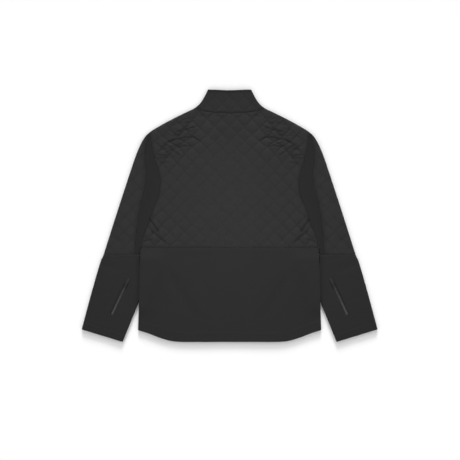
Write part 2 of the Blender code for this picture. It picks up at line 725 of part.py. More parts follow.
def sleeve_quilted(finish, group):
    bm = bmesh.new()
    fold = stretch(OUTLINE, RIDGE_TOP_UP, SLEEVE_SEAM_UP + HALF_GAP)
    ridge = moved(RIDGE_LINE, out=HALF_GAP)
    ridge[-1].y = SLEEVE_SEAM_UP + HALF_GAP
    runs = [("fold", fold), ("seam", [fold[-1], ridge[-1]]), ("seam", ridge[::-1])]
    toward = (ridge[1], ridge[-1])
    layer(bm, runs, True, QUILTED_WALL, level, 24.0, sleeve_crown, QUILT_RISE, toward)
    inner = stretch(INNER_LINE, WAIST_SEAM_UP, SLEEVE_SEAM_UP + HALF_GAP)[::-1]
    arm = moved(FRONT_ARM_LINE, out=HALF_GAP)[::-1]
    top = stretch(OUTLINE, SHOULDER_POINT_UP - HALF_GAP, RIDGE_TOP_UP)
    runs = [("fold", fold), ("seam", [fold[-1], inner[0]]), ("curl", inner), ("seam", arm),
            ("curl", top)]
    layer(bm, runs, False, QUILTED_WALL, level, 40.0, toward=toward)
    return pair("sleeve_quilted", merged(bm), finish, group)


def sleeve_lower(finish, group, cutters):
    bm = bmesh.new()
    fold = stretch(OUTLINE, SLEEVE_SEAM_UP - HALF_GAP, OUTER_EDGE[-1][1])
    inner = [p for p in INNER_LINE if p.y < SLEEVE_SEAM_UP - 4.0]
    inner.append(Vector((at_height(SIDE_LINE, SLEEVE_SEAM_UP) + 0.6, SLEEVE_SEAM_UP - HALF_GAP)))
    runs = [("fold", fold), ("free", [fold[-1], inner[0]]), ("curl", inner),
            ("seam", [inner[-1], fold[0]])]
    toward = (inner[-1], inner[0])
    layer(bm, runs, True, SOFTSHELL_WALL, level, 28.0, sleeve_crown, toward=toward)
    layer(bm, runs, False, SOFTSHELL_WALL, level, 55.0, toward=toward)
    for item, side in zip(pair("sleeve_lower", merged(bm), finish, group), (1, -1)):
        slot = block(SLEEVE_ZIP_HALF + SLOT_CLEARANCE, -SLOT_CLEARANCE, zip_length() + SLOT_CLEARANCE,
                     LAYER_TOP - SLOT_DEPTH, LAYER_TOP + SLOT_DEPTH)
        bmesh.ops.transform(slot, matrix=zip_frame(side), verts=slot.verts)
        cutter = placed(f"{item.name}_slot", slot, finish, cutters)
        cutter.hide_render = True
        cutter.display_type = "WIRE"
        cut = item.modifiers.new("zip slot", "BOOLEAN")
        cut.object = cutter
        cut.solver = "EXACT"


# ---- zips ----------------------------------------------------------------------------------------
def zip_length():
    return (Vector(SLEEVE_ZIP_HIGH) - Vector(SLEEVE_ZIP_LOW)).length


def zip_frame(side):
    """Y runs up a sleeve zip from its lower end; side is 1 on the wearer's right."""
    low = Vector((side * SLEEVE_ZIP_LOW[0], SLEEVE_ZIP_LOW[1], 0.0))
    high = Vector((side * SLEEVE_ZIP_HIGH[0], SLEEVE_ZIP_HIGH[1], 0.0))
    along = (high - low).normalized()
    across = along.cross(Vector((0, 0, 1)))
    frame = Matrix((across, along, (0, 0, 1))).transposed().to_4x4()
    return Matrix.Translation(low) @ frame


def slider_frame(side):
    """Y is the way that a pull points, Z is away from the cloth; side 0 is the front zip."""
    if side == 0:
        height = mound_rise(Vector((0.0, FRONT_SLIDER_UP)))
        return Matrix.Translation((0.0, FRONT_SLIDER_UP, height)) @ Matrix.Rotation(math.pi, 4, "X")
    return zip_frame(side) @ Matrix.Translation((0.0, zip_length() - SLIDER_BACK, LAYER_TOP))


def loft(sections):
    """A closed solid through rows of points with the same count, in order."""
    bm = bmesh.new()
    rows = [[bm.verts.new(corner) for corner in section] for section in sections]
    for row, following in zip(rows, rows[1:]):
        for i in range(len(row)):
            j = (i + 1) % len(row)
            bm.faces.new((row[i], row[j], following[j], following[i]))
    bm.faces.new(rows[0])
    bm.faces.new(rows[-1])
    return bm


def strip(outs, ups, low, high):
    """A flat strip that follows the rise of the body at its own place."""
    rows = []
    for up in ups:
        lift = mound_rise(Vector((0.5 * (outs[0] + outs[1]), up)))
        corners = ((outs[0], low), (outs[1], low), (outs[1], high), (outs[0], high))
        rows.append([(out, up, z + lift) for out, z in corners])
    return loft(rows)


def front_zip(tape, teeth, group):
    start, end = MOUND_UP - MOUND_SPREAD, FRONT_SLIDER_UP - 7.0
    parts = [i / FRONT_TAPE_ROWS for i in range(FRONT_TAPE_ROWS + 1)]
    ups = [FRONT_ZIP_LOW_UP] + [start + (end - start) * t for t in parts]
    chain = strip((-CHAIN_HALF, CHAIN_HALF), ups, CHAIN_LOW, CHAIN_HIGH)
    placed("front_zip_chain", chain, teeth, group)
    pair("front_zip_tape", strip((FRONT_SLOT, TAPE_OUTER), ups, TAPE_LOW, TAPE_HIGH), tape, group)


def sleeve_zip(side, tape, group):
    """A tape inside the sleeve with the closed chain raised through the slot."""
    bm = bmesh.new()
    low, shelf = (LAYER_TOP - depth for depth in SLEEVE_TAPE_DEPTH)
    high = LAYER_TOP - SLEEVE_CHAIN_DEPTH
    corners = [(-SLEEVE_TAPE_HALF, low), (SLEEVE_TAPE_HALF, low), (SLEEVE_TAPE_HALF, shelf),
               (SLEEVE_ZIP_HALF, shelf), (SLEEVE_ZIP_HALF, high), (-SLEEVE_ZIP_HALF, high),
               (-SLEEVE_ZIP_HALF, shelf), (-SLEEVE_TAPE_HALF, shelf)]
    face = bm.faces.new([bm.verts.new((out, 0.0, z)) for out, z in corners])
    grown = bmesh.ops.extrude_face_region(bm, geom=[face])["geom"]
    ends = [v for v in grown if isinstance(v, bmesh.types.BMVert)]
    bmesh.ops.translate(bm, vec=(0.0, zip_length(), 0.0), verts=ends)
    bmesh.ops.transform(bm, matrix=zip_frame(side), verts=bm.verts)
    placed("sleeve_zip_right" if side > 0 else "sleeve_zip_left", bm, tape, group)


def slider(name, side, metal, group):
    """A plate over the chain, whose two rims rise into ears beside the pull's barrel."""
    low, plate = SLIDER_PLATE
    sections = []
    for along, half, height in SLIDER_ROWS:
        inner = min(half - RIM_WIDTH, PULL_HALF + 0.4)
        corners = ((-half, low), (half, low), (half, height), (inner, height), (inner, plate),
                   (-inner, plate), (-inner, height), (-half, height))
        sections.append([(out, along, z) for out, z in corners])
    bm = loft(sections)
    bmesh.ops.transform(bm, matrix=slider_frame(side), verts=bm.verts)
    placed(name, bm, metal, group)


def pull(name, side, metal, group):
    """A tab with a round barrel on its pivot, lying along the zip."""
    sections = []
    for along, half, thick in PULL_ROWS:
        corners = ((-half, -thick), (half, -thick), (half, thick), (-half, thick))
        sections.append([(out, along, z) for out, z in corners])
    bm = loft(sections)
    tilt = Matrix.Rotation(-math.radians(PULL_REST_TILT), 4, "X")
    pivot = slider_frame(side) @ Matrix.Translation((0.0, *PULL_AXIS))
    bmesh.ops.transform(bm, matrix=pivot @ tilt, verts=bm.verts)
    placed(name, bm, metal, group, origin=MM * pivot.translation)


def main():
    cleared_scene()
    group = collection("softshell_jacket")
    cutters = collection("cutters")
    quilted = material("quilted shell", (0.034, 0.034, 0.035), 0.55)
    softshell = material("softshell", (0.025, 0.025, 0.026), 0.75)
    tape = material("zip tape", (0.045, 0.045, 0.047), 0.4)
    teeth = material("zip teeth", (0.03, 0.03, 0.03), 0.35)
    metal = material("painted slider", (0.03, 0.03, 0.032), 0.35, 0.6)
    back_quilted(quilted, group)
    back_lower(softshell, group)
    front_quilted(quilted, group)
    front_lower(softshell, group)
    collar(quilted, group)
    underarm_panel(softshell, group)
    sleeve_quilted(quilted, group)
    sleeve_lower(softshell, group, cutters)
    front_zip(tape, teeth, group)
    slider("front_zip_slider", 0, metal, group)
    pull("front_zip_pull", 0, metal, group)
    for side, word in ((1, "right"), (-1, "left")):
        sleeve_zip(side, tape, group)
        slider(f"sleeve_zip_slider_{word}", side, metal, group)
        pull(f"sleeve_zip_pull_{word}", side, metal, group)


main()
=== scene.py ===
# %% [markdown]
# # A quilted softshell jacket, zipped up and laid flat
# The jacket lies on its front, so we look at its back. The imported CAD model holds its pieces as
# plain solids at their real size, and this script dresses them. Each cloth piece gets a fine shell
# in the same place, with creases, seams and stitches, and the zips get their teeth.

# %% Load the frame
import math

import bpy
import numpy as np
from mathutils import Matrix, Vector
from mathutils.geometry import delaunay_2d_cdt


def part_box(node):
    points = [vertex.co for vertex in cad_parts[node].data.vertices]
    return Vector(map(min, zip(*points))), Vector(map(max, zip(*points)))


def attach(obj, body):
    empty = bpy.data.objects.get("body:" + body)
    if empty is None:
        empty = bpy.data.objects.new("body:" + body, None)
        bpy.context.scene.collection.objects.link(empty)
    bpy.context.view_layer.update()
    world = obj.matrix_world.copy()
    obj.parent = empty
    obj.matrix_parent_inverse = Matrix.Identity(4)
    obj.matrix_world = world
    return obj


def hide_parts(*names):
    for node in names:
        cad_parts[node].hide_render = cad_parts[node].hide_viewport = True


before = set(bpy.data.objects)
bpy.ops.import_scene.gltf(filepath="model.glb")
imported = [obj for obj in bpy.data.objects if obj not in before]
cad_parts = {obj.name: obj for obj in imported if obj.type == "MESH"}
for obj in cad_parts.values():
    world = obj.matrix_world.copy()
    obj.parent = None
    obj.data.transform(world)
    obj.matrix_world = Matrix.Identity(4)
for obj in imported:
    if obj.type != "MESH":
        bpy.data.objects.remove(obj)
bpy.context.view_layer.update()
MM = 0.001
JACKET = "jacket"

# %% [markdown]
# ## The pattern
# A tailor's pattern is a set of outlines, and so is this one, which the CAD solids have too. Each
# table holds points in millimetres: "out" from the centre line and "up" towards the collar, for
# the half on the wearer's right. The other half is its mirror image.

# %% Outlines of the pattern: out, up
OUTER_EDGE = [
    (66.5, 386.2), (70.6, 377.1), (76.9, 364.9), (84.2, 352.7), (94.0, 340.4), (109.7, 328.2),
    (135.2, 316.0), (184.1, 291.5), (227.8, 267.0), (245.7, 254.7), (258.4, 242.5), (273.0, 218.0),
    (290.5, 175.2), (323.1, 77.3), (354.8, -20.7), (386.0, -118.6), (396.3, -143.1),
    (424.6, -241.0), (453.2, -347.8),
]
BACK_COLLAR = [(0.0, 384.2), (11.0, 384.2), (40.0, 385.6)]
BACK_NECK = [(0.0, 313.8), (30.0, 315.0), (53.0, 317.0), (76.0, 319.8)]
BACK_ARMHOLE = [
    (237.5, 210.0), (229.0, 174.0), (214.0, 119.0), (214.6, 70.0), (233.0, 21.0),
    (247.0, -21.0), (263.5, -62.0), (271.8, -97.5),
]
FRONT_ARMHOLE = [
    (226.0, 190.0), (216.0, 119.0), (219.0, 60.0), (238.0, 0.0), (260.0, -60.0), (271.8, -97.5),
]
RIDGE = [
    (256.5, 210.0), (259.0, 174.0), (254.0, 119.0), (263.5, 68.0), (275.0, 21.0), (281.0, -21.0),
    (286.0, -62.0), (288.0, -118.6),
]
SIDE = [(271.8, -97.5), (275.0, -180.0), (277.5, -264.0), (280.5, -350.0)]
HEM = [
    (254.4, -358.0), (236.0, -364.9), (217.6, -372.1), (199.3, -378.1), (180.9, -383.0),
    (162.6, -385.4), (140.0, -386.2), (70.0, -386.2), (0.0, -386.2),
]
NECK_CORNER_UP = 331.7
SHOULDER_POINT_UP = 256.0
RIDGE_TOP_UP = 253.2
FRONT_NECK_DROP = 78.0
FRONT_COLLAR_HEIGHT = 70.0
WAIST_SEAM_UP = -97.5
SLEEVE_SEAM_UP = -118.6
CUFF_INNER = (327.5, -386.2)
TUCK_LOW = (278.3, -265.0)
TUCK_TIP = (239.0, -165.0)
TUCK_HIGH = (274.6, -147.0)

# %% Cloth and spacing
SOFTSHELL_WALL = 1.6
QUILTED_WALL = 2.0
COLLAR_WALL = 2.2
HALF_HEIGHT = 3.5           # middle of the two layers above the surface
HALF_GAP = 0.15             # pieces are twice this apart at a seam
FRONT_SLOT = 3.3            # half the width between the front edges
QUILT_DIAGONAL = 45.9       # width of a diamond, point to point
QUILT_CENTRE_UP = -50.0
SEAM_STEP = 2.4             # spacing of points along an edge
CORNER = 1.5                # run ends this close are one corner
CUT_CLEAR = 0.6             # a cut line keeps its points this far from the cut
INNER_OUT = 0.6             # the sleeve's inner edge clears the body's side by this
print("diamond:", round(QUILT_DIAGONAL / math.sqrt(2), 1), "mm along each side")

# %% [markdown]
# ## Drawing with the pattern
# A pattern maker draws a curve by laying a bent ruler through a few marked points. Here the ruler
# is a spline that passes through every point of a table and takes its slope there from the two
# neighbours. All points of a line are worked out together with NumPy, because a fine shell needs
# thousands of them.


# %% Lines through points
def smooth(t):
    """0 below 0, 1 above 1, and an easy rise between."""
    t = np.clip(t, 0.0, 1.0)
    return t * t * (3.0 - 2.0 * t)


def through(rows, step=SEAM_STEP):
    """A smooth line through the rows of a table."""
    rows = np.array(rows, float)
    ends = np.vstack([2 * rows[0] - rows[1], rows, 2 * rows[-1] - rows[-2]])
    line = [rows[:1]]
    for before, start, end, after in zip(ends, ends[1:], ends[2:], ends[3:]):
        count = max(1, math.ceil(np.linalg.norm(end - start) / step))
        t = (np.arange(1, count + 1) / count)[:, None]
        line.append(0.5 * (2 * start + (end - before) * t
                           + (2 * before - 5 * start + 4 * end - after) * t ** 2
                           + (3 * start - before - 3 * end + after) * t ** 3))
    return np.vstack(line)


def straight(start, end, step=SEAM_STEP):
    """Points on a straight line, at most one step apart."""
    start, end = np.array(start, float), np.array(end, float)
    count = max(1, math.ceil(np.linalg.norm(end - start) / step))
    return start + (end - start) * (np.arange(count + 1) / count)[:, None]


def at_height(line, up):
    """How far out a line is at a height; its heights run one way."""
    order = np.argsort(line[:, 1])
    return np.interp(up, line[order, 1], line[order, 0])


def stretch(line, high, low):
    """The part of a falling line between two heights."""
    middle = line[(line[:, 1] < high - CUT_CLEAR) & (line[:, 1] > low + CUT_CLEAR)]
    return np.vstack([[at_height(line, high), high], middle, [at_height(line, low), low]])


def beyond(line, out):
    """The points of a line that are farther out."""
    return line[line[:, 0] > out + 1.0]


def moved(line, out=0.0, up=0.0):
    return line + np.array([out, up])


# %% Lines shared by several pieces
OUTLINE = through(OUTER_EDGE)
SHOULDER_POINT = (at_height(OUTLINE, SHOULDER_POINT_UP), SHOULDER_POINT_UP)
RIDGE_TOP = (at_height(OUTLINE, RIDGE_TOP_UP), RIDGE_TOP_UP)
NECK_CORNER = (at_height(OUTLINE, NECK_CORNER_UP), NECK_CORNER_UP)
BACK_ARM_LINE = through([SHOULDER_POINT] + BACK_ARMHOLE)
FRONT_ARM_LINE = through([SHOULDER_POINT] + FRONT_ARMHOLE)
RIDGE_LINE = through([RIDGE_TOP] + RIDGE)
BACK_NECK_LINE = through(BACK_NECK + [NECK_CORNER])
SIDE_LINE = through(SIDE)
HEM_LINE = np.vstack([straight(SIDE[-1], HEM[0])[:-1], through(HEM)])
quarter = np.linspace(0.0, 0.5 * math.pi, 56)
FRONT_NECK_LINE = np.column_stack([NECK_CORNER[0] * np.cos(quarter),
                                   NECK_CORNER_UP - FRONT_NECK_DROP * np.sin(quarter)])
share = np.linspace(0.0, 1.0, 42)
COLLAR_FRONT_TOP = np.column_stack([OUTER_EDGE[0][0] * (1.0 - share),
                                    OUTER_EDGE[0][1] - FRONT_COLLAR_HEIGHT * smooth(share)])
BACK_COLLAR_TOP = through(BACK_COLLAR + [OUTER_EDGE[0]])
INNER_LINE = np.vstack([
    straight(CUFF_INNER, TUCK_LOW)[:-1], straight(TUCK_LOW, TUCK_TIP)[:-1],
    straight(TUCK_TIP, TUCK_HIGH)[:-1], [TUCK_HIGH],
    moved(stretch(SIDE_LINE, WAIST_SEAM_UP, TUCK_HIGH[1] + 2.0)[::-1], out=INNER_OUT),
])
print("shoulder point", np.round(SHOULDER_POINT, 1), "neck corner", np.round(NECK_CORNER, 1))

# %% [markdown]
# ## How the cloth lies
# A jacket on a table isn't a flat board. The body rises where the sleeves are tucked under its
# sides, the armholes sink, and a few long soft folds cross the lower back and the elbows. Each of
# these is a small formula in millimetres. Simulation could find such shapes too, but the folds
# would land anywhere, and the ones in the photograph have their own places.

# %% Sizes of the rises, dips and folds
TUCK_RISE, TUCK_MARGIN, TUCK_SPREAD = 8.0, 8.0, 60.0
TUCK_RAMP_HIGH, TUCK_RAMP_LOW = 38.0, 44.0
MOUND_UP, MOUND_RISE, MOUND_SPREAD = 303.0, 4.0, 92.0
VALLEY_DEPTH, RIDGE_RISE, RIDGE_SPREAD = 1.4, 0.9, 50.0
RIDGE_END_UP, RIDGE_FADE = -195.0, 80.0
FOLD_OVERRUN, FOLD_TAPER = 0.1, 0.25        # shares of a fold's length, at each end
BODY_FOLDS = [      # out and up of each end, half width, height
    (178.0, -178.0, 92.0, -318.0, 26.0, -1.5),
    (206.0, -196.0, 128.0, -326.0, 24.0, 0.9),
    (150.0, -150.0, 60.0, -262.0, 26.0, 0.7),
    (262.0, -120.0, 190.0, -172.0, 13.0, -0.5),
    (255.0, -300.0, 205.0, -352.0, 20.0, 0.5),
    (40.0, -230.0, -40.0, -250.0, 34.0, 0.4),
]
ARMHOLE_FOLDS = [
    (222.0, 186.0, 186.0, 184.0, 4.5, -1.1),
    (222.0, 176.0, 190.0, 178.5, 4.5, -0.8),
    (214.0, 160.0, 184.0, 164.0, 5.0, -0.6),
    (246.0, -8.0, 214.0, -52.0, 6.0, -1.2),
    (240.0, -46.0, 196.0, -84.0, 6.0, -1.0),
    (262.0, -80.0, 236.0, -70.0, 4.5, -0.8),
]
SHOULDER_FOLDS = [      # short level creases where the yoke is bunched up
    (187.0, 225.0, 158.0, 234.0, 5.0, -1.2), (160.0, 233.5, 136.0, 240.0, 5.0, -1.3),
    (138.0, 240.0, 108.0, 241.0, 5.5, -1.2), (110.0, 241.0, 92.0, 228.0, 5.0, -0.9),
    (161.0, 209.5, 136.0, 215.0, 5.0, -1.1), (138.0, 215.0, 116.0, 211.5, 5.0, -0.9),
    (213.0, 200.0, 190.0, 206.0, 5.0, -0.9), (198.0, 219.0, 150.0, 183.0, 4.5, -0.9),
    (167.0, 258.0, 140.0, 260.5, 5.0, -0.9), (141.0, 260.5, 104.0, 274.0, 5.5, -0.9),
    (141.0, 284.0, 121.0, 284.0, 4.0, -0.6), (142.0, 297.0, 118.0, 297.5, 4.0, -0.5),
    (150.0, 224.0, 128.0, 227.0, 6.0, 0.6), (150.0, 249.0, 112.0, 253.0, 6.0, 0.6),
    (190.0, 212.0, 168.0, 219.0, 6.0, 0.5), (94.0, 302.0, 78.0, 309.0, 4.5, -0.7),
]
SLEEVE_FOLDS = [
    (396.0, -146.0, 330.0, -172.0, 15.0, -1.2),
    (372.0, -128.0, 310.0, -150.0, 14.0, 0.7),
    (330.0, 60.0, 292.0, 18.0, 16.0, -1.0),
    (368.0, -60.0, 318.0, -88.0, 13.0, -0.8),
    (300.0, 150.0, 276.0, 112.0, 10.0, -0.7),
    (420.0, -262.0, 372.0, -232.0, 18.0, -0.6),
    (404.0, -330.0, 352.0, -348.0, 20.0, 0.5),
]


# %% Rises, dips and folds
def folds(places, table):
    """Soft ridges and troughs along straight lines."""
    height = np.zeros(len(places))
    for out0, up0, out1, up1, half_width, rise in table:
        start, along = np.array([out0, up0]), np.array([out1 - out0, up1 - up0])
        t = (places - start) @ along / (along @ along)
        beside = np.linalg.norm(places - start - np.clip(t, 0.0, 1.0)[:, None] * along, axis=1)
        ends = smooth(np.minimum(t + FOLD_OVERRUN, 1.0 + FOLD_OVERRUN - t) / FOLD_TAPER)
        height += rise * (1.0 - smooth(beside / half_width)) * ends
    return height


def body_rise(places):
    """Over the tucked part of a sleeve, and over the slider of the front zip."""
    out, up = places[:, 0], places[:, 1]
    high = smooth((WAIST_SEAM_UP - up) / TUCK_RAMP_HIGH)
    low = smooth((up - (TUCK_LOW[1] - TUCK_MARGIN - TUCK_RAMP_LOW)) / TUCK_RAMP_LOW)
    tip = at_height(np.array([TUCK_LOW, TUCK_TIP]), up)
    across = smooth(1.0 - (tip - TUCK_MARGIN - out) / TUCK_SPREAD)
    mound = 1.0 - smooth(np.hypot(out, up - MOUND_UP) / MOUND_SPREAD)
    return TUCK_RISE * high * low * across + MOUND_RISE * mound


def level(places):
    return np.zeros(len(places))


def sleeve_crown(places):
    """A dip from the armhole seam to the ridge, then a slope to the sleeve's outer edge."""
    out, up = places[:, 0], places[:, 1]
    seam = at_height(np.vstack([BACK_ARM_LINE, SIDE_LINE[1:]]), up)
    ridge = at_height(RIDGE_LINE, up)
    across = (out - seam) / np.maximum(ridge - seam, 1.0)
    dip = np.clip(across, 0.0, 1.0)
    valley = RIDGE_RISE * dip ** 2 - VALLEY_DEPTH * np.sin(math.pi * dip)
    slope = RIDGE_RISE * (1.0 - smooth((out - ridge) / RIDGE_SPREAD))
    fade = smooth((up - RIDGE_END_UP) / RIDGE_FADE)
    return fade * np.where(across < 1.0, valley, slope) + folds(places, SLEEVE_FOLDS)


# %% Puckers and unevenness
PUCKERS = [(0.46, 12.5, 0.0), (-0.40, 11.0, 4.0)]       # slope, pitch and start of two sets
PUCKER_DEPTH, PUCKER_WIDTH = 0.75, 1.8
BUNCH_MIDDLE = np.array([160.0, 247.0])
BUNCH_REACH, BUNCH_HALF_WIDTH = 74.0, 36.0
BUNCH_WAY = np.array([0.66, -0.75])         # from the neck's corner down to the armhole


def bunching(places, side):
    """Two sets of short creases that cross where the yoke is bunched over the shoulder."""
    x, out, up = side * places[:, 0], places[:, 0], places[:, 1]
    rest = places - BUNCH_MIDDLE
    along, across = rest @ BUNCH_WAY, rest @ (-BUNCH_WAY[1], BUNCH_WAY[0])
    near = np.exp(-(along / BUNCH_REACH) ** 4 - (across / BUNCH_HALF_WIDTH) ** 2)
    sway = 2.6 * np.sin(x / 17.0 + up / 23.0) + 1.4 * np.sin(out / 8.0 - up / 15.0)
    height = np.zeros(len(places))
    for slope, pitch, start in PUCKERS:
        count = (up - slope * rest[:, 0] + sway + start) / pitch
        gap = (count - np.round(count)) * pitch
        broken = np.clip(0.5 + 0.9 * np.sin(out / 9.0 + 2.3 * np.round(count)), 0.0, 1.0)
        height -= broken * np.exp(-(gap / PUCKER_WIDTH) ** 2)
    return PUCKER_DEPTH * near * height


def unevenness(places, side):
    """Slow waves, in millimetres, different on the left and on the right."""
    x, y = side * places[:, 0], places[:, 1]
    slow = 0.30 * np.sin(x / 31.0 + 1.3) * np.sin(y / 43.0 + 0.4)
    return slow + 0.18 * np.sin((x + y) / 19.0 + 2.1) * np.sin((x - 0.6 * y) / 27.0)


# %% [markdown]
# ## Quilting
# Two families of straight stitch lines at 45 degrees hold the padding down, and between them the
# cloth swells into cushions. Where the yoke turns over the shoulder, the photograph shows the
# diamonds squashed into flat lenses, so the lines are drawn on a grid that is pressed together
# there. In the middle of the back the cloth is pulled flatter, and the cushions are lower.

# %% The quilting grid
QUILT_CELLS = 14            # mesh cells along one side of a diamond
QUILT_FULLNESS = 0.42       # below 1 gives a flatter cushion with sharper lines
QUILT_EDGE_FADE = 8.0       # the cushions die out towards seams and folds
LOFT_BASE, LOFT_MOST = 0.25, 1.15
UNPRESS_ROUNDS, UNPRESS_SHARE = 12, 0.8
GROOVE_HALF_WIDTH = 2.6
QUILT_MARGIN = 20.0         # the squashed grid reaches this far past its corners
SQUASHES = [                # out and up of the middle, reach out, reach up, strength
    (146.0, 226.0, 62.0, 44.0, 0.52),
    (232.0, -62.0, 40.0, 34.0, 0.30),
]
LOFT_SPOTS = [              # where the cushions stand up: out, up, reach, extra height
    (150.0, 226.0, 78.0, 0.60), (214.0, 172.0, 46.0, 0.45), (80.0, 282.0, 60.0, 0.44),
    (232.0, -50.0, 62.0, 0.60), (120.0, -92.0, 70.0, 0.16), (20.0, 300.0, 50.0, 0.38),
]


def pressed(flat):
    """Where points of the even grid lie on the jacket."""
    result = flat.copy()
    for out, up, reach_out, reach_up, strength in SQUASHES:
        rest = flat - (out, up)
        near = np.exp(-(rest[:, 0] / reach_out) ** 2 - (rest[:, 1] / reach_up) ** 2)
        result[:, 1] -= strength * near * rest[:, 1]
    return result


def unpressed(places):
    """The other way round, found by repeated correction."""
    flat = places.copy()
    for _ in range(UNPRESS_ROUNDS):
        flat += UNPRESS_SHARE * (places - pressed(flat))
    return flat


def quilt_numbers(places):
    """Stitch lines crossed in each family; a whole number lies on a line."""
    flat = unpressed(places)
    climb = flat[:, 1] - QUILT_CENTRE_UP
    return np.column_stack([flat[:, 0] + climb, flat[:, 0] - climb]) / QUILT_DIAGONAL


def from_numbers(numbers):
    """Places from counts of stitch lines."""
    out = 0.5 * QUILT_DIAGONAL * (numbers[:, 0] + numbers[:, 1])
    up = 0.5 * QUILT_DIAGONAL * (numbers[:, 0] - numbers[:, 1]) + QUILT_CENTRE_UP
    return pressed(np.column_stack([out, up]))


def cushions(places):
    """Height of the cushions, 0 on a stitch line and 1 in the middle of a diamond."""
    return np.abs(np.prod(np.sin(math.pi * quilt_numbers(places)), axis=1)) ** QUILT_FULLNESS


def loft(places):
    """How far the cushions stand up, as a share of the fullest."""
    share = np.full(len(places), LOFT_BASE)
    for out, up, reach, extra in LOFT_SPOTS:
        share += extra * np.exp(-np.sum((places - (out, up)) ** 2, axis=1) / reach ** 2)
    return np.minimum(share, LOFT_MOST)


def grooves(places):
    """1 on a stitch line, and 0 away from it, for cloth that lies flat on the surface."""
    numbers = quilt_numbers(places)
    beside = np.min(np.abs(numbers - np.round(numbers)), axis=1) * QUILT_DIAGONAL / math.sqrt(2)
    return np.exp(-(beside / GROOVE_HALF_WIDTH) ** 2)


# %% [markdown]
# ## One layer of cloth
# Seen from above, a layer is an outline filled with triangles. A triangulation that avoids thin
# slivers fills any outline evenly, and rows of points close to the edges give it crisp seams and
# round folds. Then every point gets its height. At a fold or a curled side the cloth turns down in
# a quarter circle.

# %% Distances and outlines
RANK = {"fold": 4, "middle": 3, "curl": 2, "seam": 1, "free": 0}
ROUND_ROWS = (0.25, 1.0, 2.2, 3.5)      # rows of points beside a fold, by their distance
SEAM_ROWS = (0.9, 2.0, 3.6)
ROW_CLEAR = 0.93            # a row keeps this share of its distance at corners
GRID_CLEAR, SHAPED_CLEAR = 1.1, 4.6     # inner points stay off the outline, and off its rows
SEAM_DEPTH, SEAM_WIDTH = 0.6, 1.5
UNDER_DIP, UNDER_GROOVE = 0.6, 0.9      # the lower layer's seams, as a share, and its grooves
TOUCHING = 0.03


def away(places, line):
    """Distance from each place to a line."""
    best = np.full(len(places), 1e9)
    for start, end in zip(line, line[1:]):
        along = end - start
        t = np.clip((places - start) @ along / max(along @ along, 1e-12), 0.0, 1.0)
        offset = places - start - t[:, None] * along
        best = np.minimum(best, np.einsum("ij,ij->i", offset, offset))
    return np.sqrt(best)


def inside(places, loop):
    """Which places lie inside a closed line."""
    hit = np.zeros(len(places), bool)
    for start, end in zip(loop, np.roll(loop, -1, axis=0)):
        if start[1] != end[1]:
            spans = (start[1] > places[:, 1]) != (end[1] > places[:, 1])
            edge = start[0] + (end[0] - start[0]) * (places[:, 1] - start[1]) / (end[1] - start[1])
            hit ^= spans & (places[:, 0] < edge)
    return hit


def turning(loop):
    """Twice the area inside a closed line, above 0 if it runs anticlockwise."""
    following = np.roll(loop, -1, axis=0)
    return float(np.sum(loop[:, 0] * following[:, 1] - loop[:, 1] * following[:, 0]))


def joined(runs):
    """One closed outline, anticlockwise, and the kind of the edge after each point."""
    places, kinds = [], []
    for i, (kind, line) in enumerate(runs):
        before, following = runs[i - 1], runs[(i + 1) % len(runs)]
        first = line[0]
        if math.dist(before[1][-1], first) < CORNER and RANK[before[0]] > RANK[kind]:
            first = before[1][-1]
        shared = math.dist(line[-1], following[1][0]) < CORNER
        body = [first, *(line[1:-1] if shared else line[1:])]
        places += body
        kinds += [kind] * len(body)
        if not shared:
            kinds[-1] = "seam"
    places = np.array(places)
    if turning(places) < 0:
        places, kinds = places[::-1], [kinds[i - 1] for i in range(len(kinds) - 1, -1, -1)]
    return places, kinds


